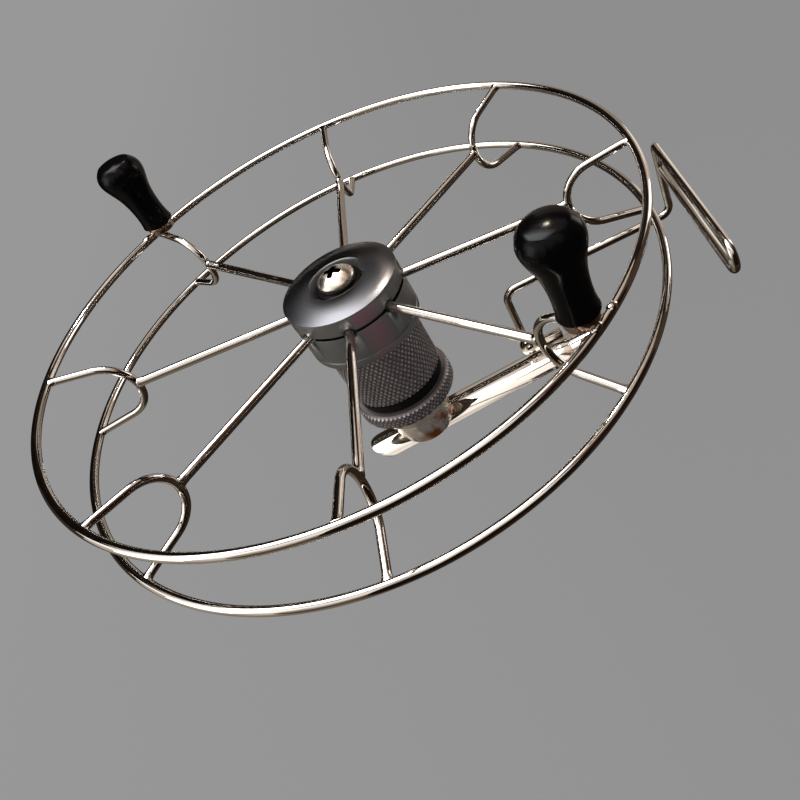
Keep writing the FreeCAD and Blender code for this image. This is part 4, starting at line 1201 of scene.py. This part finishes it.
def light_the_world():
    """The plain grey that is seen and mirrored, and the soft fill that lights the reel."""
    studio = bpy.context.scene.reel_studio
    world = bpy.data.worlds.new("studio")
    bpy.context.scene.world = world
    world.use_nodes = True
    tree = world.node_tree
    plain = add_node(tree, "ShaderNodeBackground",
                     {"Color": rgba(studio.backdrop), "Strength": 1.0})
    fill = add_node(tree, "ShaderNodeBackground",
                    {"Color": (1, 1, 1, 1), "Strength": studio.fill})
    both = add_node(tree, "ShaderNodeMixShader",
                    {0: seen_and_mirrored(tree), 1: fill.outputs[0], 2: plain.outputs[0]})
    feed(tree, tree.nodes["World Output"], {"Surface": both.outputs[0]})


def lay_floor():
    """A wide plain floor, far enough below that the reel's shadow falls soft."""
    studio = bpy.context.scene.reel_studio
    bm = bmesh.new()
    bmesh.ops.create_grid(bm, x_segments=1, y_segments=1, size=FLOOR_HALF,
                          matrix=Matrix.Translation((0, 0, FLOOR_HEIGHT)))
    mesh = bpy.data.meshes.new("floor")
    bm.to_mesh(mesh)
    bm.free()

    def paint(tree, place):
        """Painted board: plain matt grey, a little darker to the right."""
        tone = add_node(tree, "ShaderNodeMix",
                        {0: towards(tree, place, FADE_HEADING, FADE_START, FADE_END),
                         6: rgba(studio.backdrop), 7: rgba(studio.backdrop_far)}, data_type="RGBA")
        shown = add_node(tree, "ShaderNodeMath", {0: seen_and_mirrored(tree), 1: FLOOR_GLOW},
                         operation="MULTIPLY")
        return {"Base Color": rgba([level * FLOOR_PAINT for level in studio.backdrop]),
                "Roughness": 0.9, "Specular IOR Level": 0.0, "Emission Color": tone.outputs[2],
                "Emission Strength": shown.outputs[0]}
    mesh.materials.append(made_material("matt_painted_board", paint))
    floor = bpy.data.objects.new("floor", mesh)
    bpy.context.scene.collection.objects.link(floor)


def soft_box(name, place, size, power, colour, mirrored, lights):
    """A soft rectangular lamp that looks at the wheel."""
    lamp = bpy.data.lights.new(name, "AREA")
    lamp.shape = "RECTANGLE"
    lamp.size, lamp.size_y = size
    lamp.energy = power
    lamp.color = colour
    box = bpy.data.objects.new(name, lamp)
    bpy.context.scene.collection.objects.link(box)
    box.location = place
    box.rotation_euler = (reel_middle() - Vector(place)).to_track_quat("-Z", "Y").to_euler()
    box.visible_glossy = mirrored
    box.visible_diffuse = lights


def mirrored_card(name, fall, sweep, upper, lower):
    """A curved glowing card that only the reel's mirror finishes show: a painted reflection, not a
    lamp.

    It falls between two angles from overhead, and sweeps between two from the rod's long end.
    """
    middle = reel_middle()
    first, last = (math.radians(angle) for angle in fall)
    left, right = (math.radians(angle) for angle in sweep)
    bm = bmesh.new()
    top = bm.verts.new(middle + CARD_DISTANCE * Vector((math.sin(first), 0, math.cos(first))))
    bmesh.ops.spin(bm, geom=[top], cent=middle, axis=(0, 1, 0), dvec=ORIGIN, angle=last - first,
                   steps=CARD_STEPS, use_merge=False, use_duplicate=False)
    bmesh.ops.rotate(bm, verts=bm.verts, cent=middle, matrix=about_spindle(left))
    bmesh.ops.spin(bm, geom=bm.verts[:] + bm.edges[:], cent=middle, axis=UP, dvec=ORIGIN,
                   angle=right - left, steps=CARD_STEPS, use_merge=False, use_duplicate=False)
    mesh = bpy.data.meshes.new(name)
    bm.to_mesh(mesh)
    bm.free()

    def paint(tree, place):
        """Glowing card, a painted reflection: one tone runs unevenly into another from top to bottom
        """
        down = towards(tree, place, UP, middle.z + CARD_DISTANCE * math.cos(first),
                       middle.z + CARD_DISTANCE * math.cos(last))
        amount = add_node(tree, "ShaderNodeMath",
                          {0: down, 1: patches(tree, place, 180, -0.3, 0.3)},
                          operation="ADD", use_clamp=True)
        tone = add_node(tree, "ShaderNodeMix",
                        {0: amount.outputs[0], 6: rgba(linear(upper)), 7: rgba(linear(lower))},
                        data_type="RGBA")
        return {"Color": tone.outputs[2], "Strength": bpy.context.scene.reel_studio.cards}
    mesh.materials.append(made_material("brushed_" + name, paint, "ShaderNodeEmission"))
    card = bpy.data.objects.new(name, mesh)
    bpy.context.scene.collection.objects.link(card)
    card.visible_camera = False
    card.visible_diffuse = False
    card.visible_shadow = False
    card.visible_transmission = False


def place_camera():
    """The camera where the photograph was taken."""
    studio = bpy.context.scene.reel_studio
    camera = bpy.data.objects.new("camera", bpy.data.cameras.new("camera"))
    bpy.context.scene.collection.objects.link(camera)
    camera.location = studio.camera_place
    camera.rotation_euler = studio.camera_turn
    camera.data.sensor_width = 36
    camera.data.lens = studio.lens
    camera.data.shift_x, camera.data.shift_y = studio.shift
    camera.data.clip_start = 0.01
    bpy.context.scene.camera = camera


# Lamps: name, place and size in metres, the setting of its power, colour, whether mirror finishes
# show it, and whether it lights the rest
LAMPS = (
    ("overhead_box", (-0.13, 0.11, 0.57), (0.46, 0.48), "overhead", (1, 1, 1), True, True),
    ("overhead_core", (-0.115, 0.1, 0.52), (0.3, 0.32), "core", (1, 1, 1), True, False),
    ("front_box", (0.05, -0.62, 0.3), (0.5, 0.4), "front", (1, 1, 1), False, True),
    ("left_box", (-0.6, -0.1, 0.25), (0.25, 0.4), "left", (1, 1, 1), True, True),
    ("right_box", (0.56, 0.2, 0.12), (0.14, 0.26), "right", (1, 1, 1), True, True),
    ("small_lamp", (0.13, 0.3, 0.53), (0.035, 0.035), "lamp", (1, 0.85, 0.7), True, False),
)

# Cards, which glow as painted reflections: name, fall from overhead, sweep from the rod's long end,
# upper and lower tone
CARDS = (
    ("left", (40, 76), (162, 212), "FFFFFF", "F4F0EA"),
    ("left_front", (34, 88), (212, 238), "F4F0EA", "7C6C5E"),
    ("left_front_low", (88, 124), (212, 238), "4C4036", "4A443C"),
    ("left_low", (76, 124), (168, 212), "C0BAB0", "787066"),
    ("back_left_low", (76, 124), (148, 168), "28221E", "3C342E"),
    ("back_left", (54, 76), (108, 162), "0E0A08", "100C0A"),
    ("back_left_edge", (44, 54), (146, 162), "F4F0EA", "B0A8A0"),
    ("back_left_upper", (44, 54), (108, 146), "0E0A08", "0E0A08"),
    ("back_left_under", (76, 108), (108, 148), "100C0A", "100C0A"),
    ("back_left_foot", (108, 124), (108, 148), "28221E", "38302C"),
    ("back_left_high", (0, 44), (108, 162), "FFFFFF", "D8D4CE"),
    ("back_high", (0, 44), (58, 108), "F4F0EC", "9C9088"),
    ("back_gap", (44, 60), (10, 108), "1E1814", "18120E"),
    ("back_dark", (60, 80), (80, 108), "120C0A", "1E1814"),
    ("back_dark_low", (80, 124), (92, 108), "1E1814", "2A2420"),
    ("back_pale", (60, 124), (72, 80), "88827C", "6C665E"),
    ("back_pale_low", (80, 124), (80, 92), "A09890", "6C665E"),
    ("back_right", (60, 124), (47, 72), "8A7E74", "6E6458"),
    ("back_right_upper", (60, 72), (34, 47), "8A7E74", "8A7E74"),
    ("back_right_glow", (72, 124), (34, 47), "E0D8CE", "A8A098"),
    ("back_right_lamp", (64, 104), (12, 34), "D8C4B6", "A4948A"),
    ("back_right_low", (104, 124), (12, 34), "564C44", "50463E"),
    ("back_right_high", (0, 44), (10, 58), "E4DCD2", "A4988C"),
    ("right_high", (0, 50), (-26, 10), "D8CCC0", "6A5A50"),
    ("right", (50, 124), (-12, 12), "3A2C22", "3E342C"),
    ("right_gap", (50, 62), (-26, -12), "14100C", "14100C"),
    ("front_right_high", (14, 62), (-48, -26), "6A4C40", "30221C"),
    ("front_right", (62, 124), (-48, -12), "100A08", "241C16"),
    ("front_high", (0, 62), (-122, -48), "FFFAF4", "4C3E34"),
    ("front", (62, 124), (-122, -48), "160E0A", "120C08"),
    ("below_left", (124, 180), (120, 230), "7A7266", "564E44"),
    ("below", (124, 180), (-130, 120), "2C241C", "241D17"),
)


class BuildStudio(bpy.types.Operator):
    """Set up the floor, the lamps, the cards and the camera"""

    bl_idname = "reel.studio"
    bl_label = "Studio"

    def execute(self, context):
        studio = context.scene.reel_studio
        context.scene.view_settings.view_transform = "Standard"
        light_the_world()
        lay_floor()
        for name, place, size, power, colour, mirrored, lights in LAMPS:
            soft_box(name, place, size, getattr(studio, power), colour, mirrored, lights)
        for name, fall, sweep, upper, lower in CARDS:
            mirrored_card("card_" + name, fall, sweep, upper, lower)
        place_camera()
        return {"FINISHED"}


class ReelPanel(bpy.types.Panel):
    """The reel's pieces and settings"""

    bl_idname = "REEL_PT_pieces"
    bl_label = "Raft Fishing Reel"
    bl_space_type = "VIEW_3D"
    bl_region_type = "UI"
    bl_category = "Reel"

    def draw(self, context):
        for operator in OPERATORS:
            self.layout.operator(operator.bl_idname)
        for group in GROUPS:
            settings = getattr(context.scene, group)
            for name in settings.__annotations__:
                self.layout.prop(settings, name)


GROUPS = {"reel_details": ReelDetails, "reel_finish": ReelFinish, "reel_studio": ReelStudio}
OPERATORS = (BuildRims, BuildHoops, BuildSpokes, BuildHub, BuildDrag, BuildFittings, BuildFoot,
             BuildBrake, BuildKnobs, FinishInside, BuildStudio)


def register():
    """Registers the groups, the operators and the panel."""
    for name, group in GROUPS.items():
        bpy.utils.register_class(group)
        setattr(bpy.types.Scene, name, PointerProperty(type=group))
    for kind in (*OPERATORS, ReelPanel):
        bpy.utils.register_class(kind)


def unregister():
    """Takes them out again."""
    for kind in (ReelPanel, *reversed(OPERATORS)):
        bpy.utils.unregister_class(kind)
    for name, group in GROUPS.items():
        delattr(bpy.types.Scene, name)
        bpy.utils.unregister_class(group)


def main():
    """Builds every piece and the studio."""
    register()
    for operator in OPERATORS:
        getattr(bpy.ops.reel, operator.bl_idname.split(".")[1])()


if __name__ == "__main__":
    main()
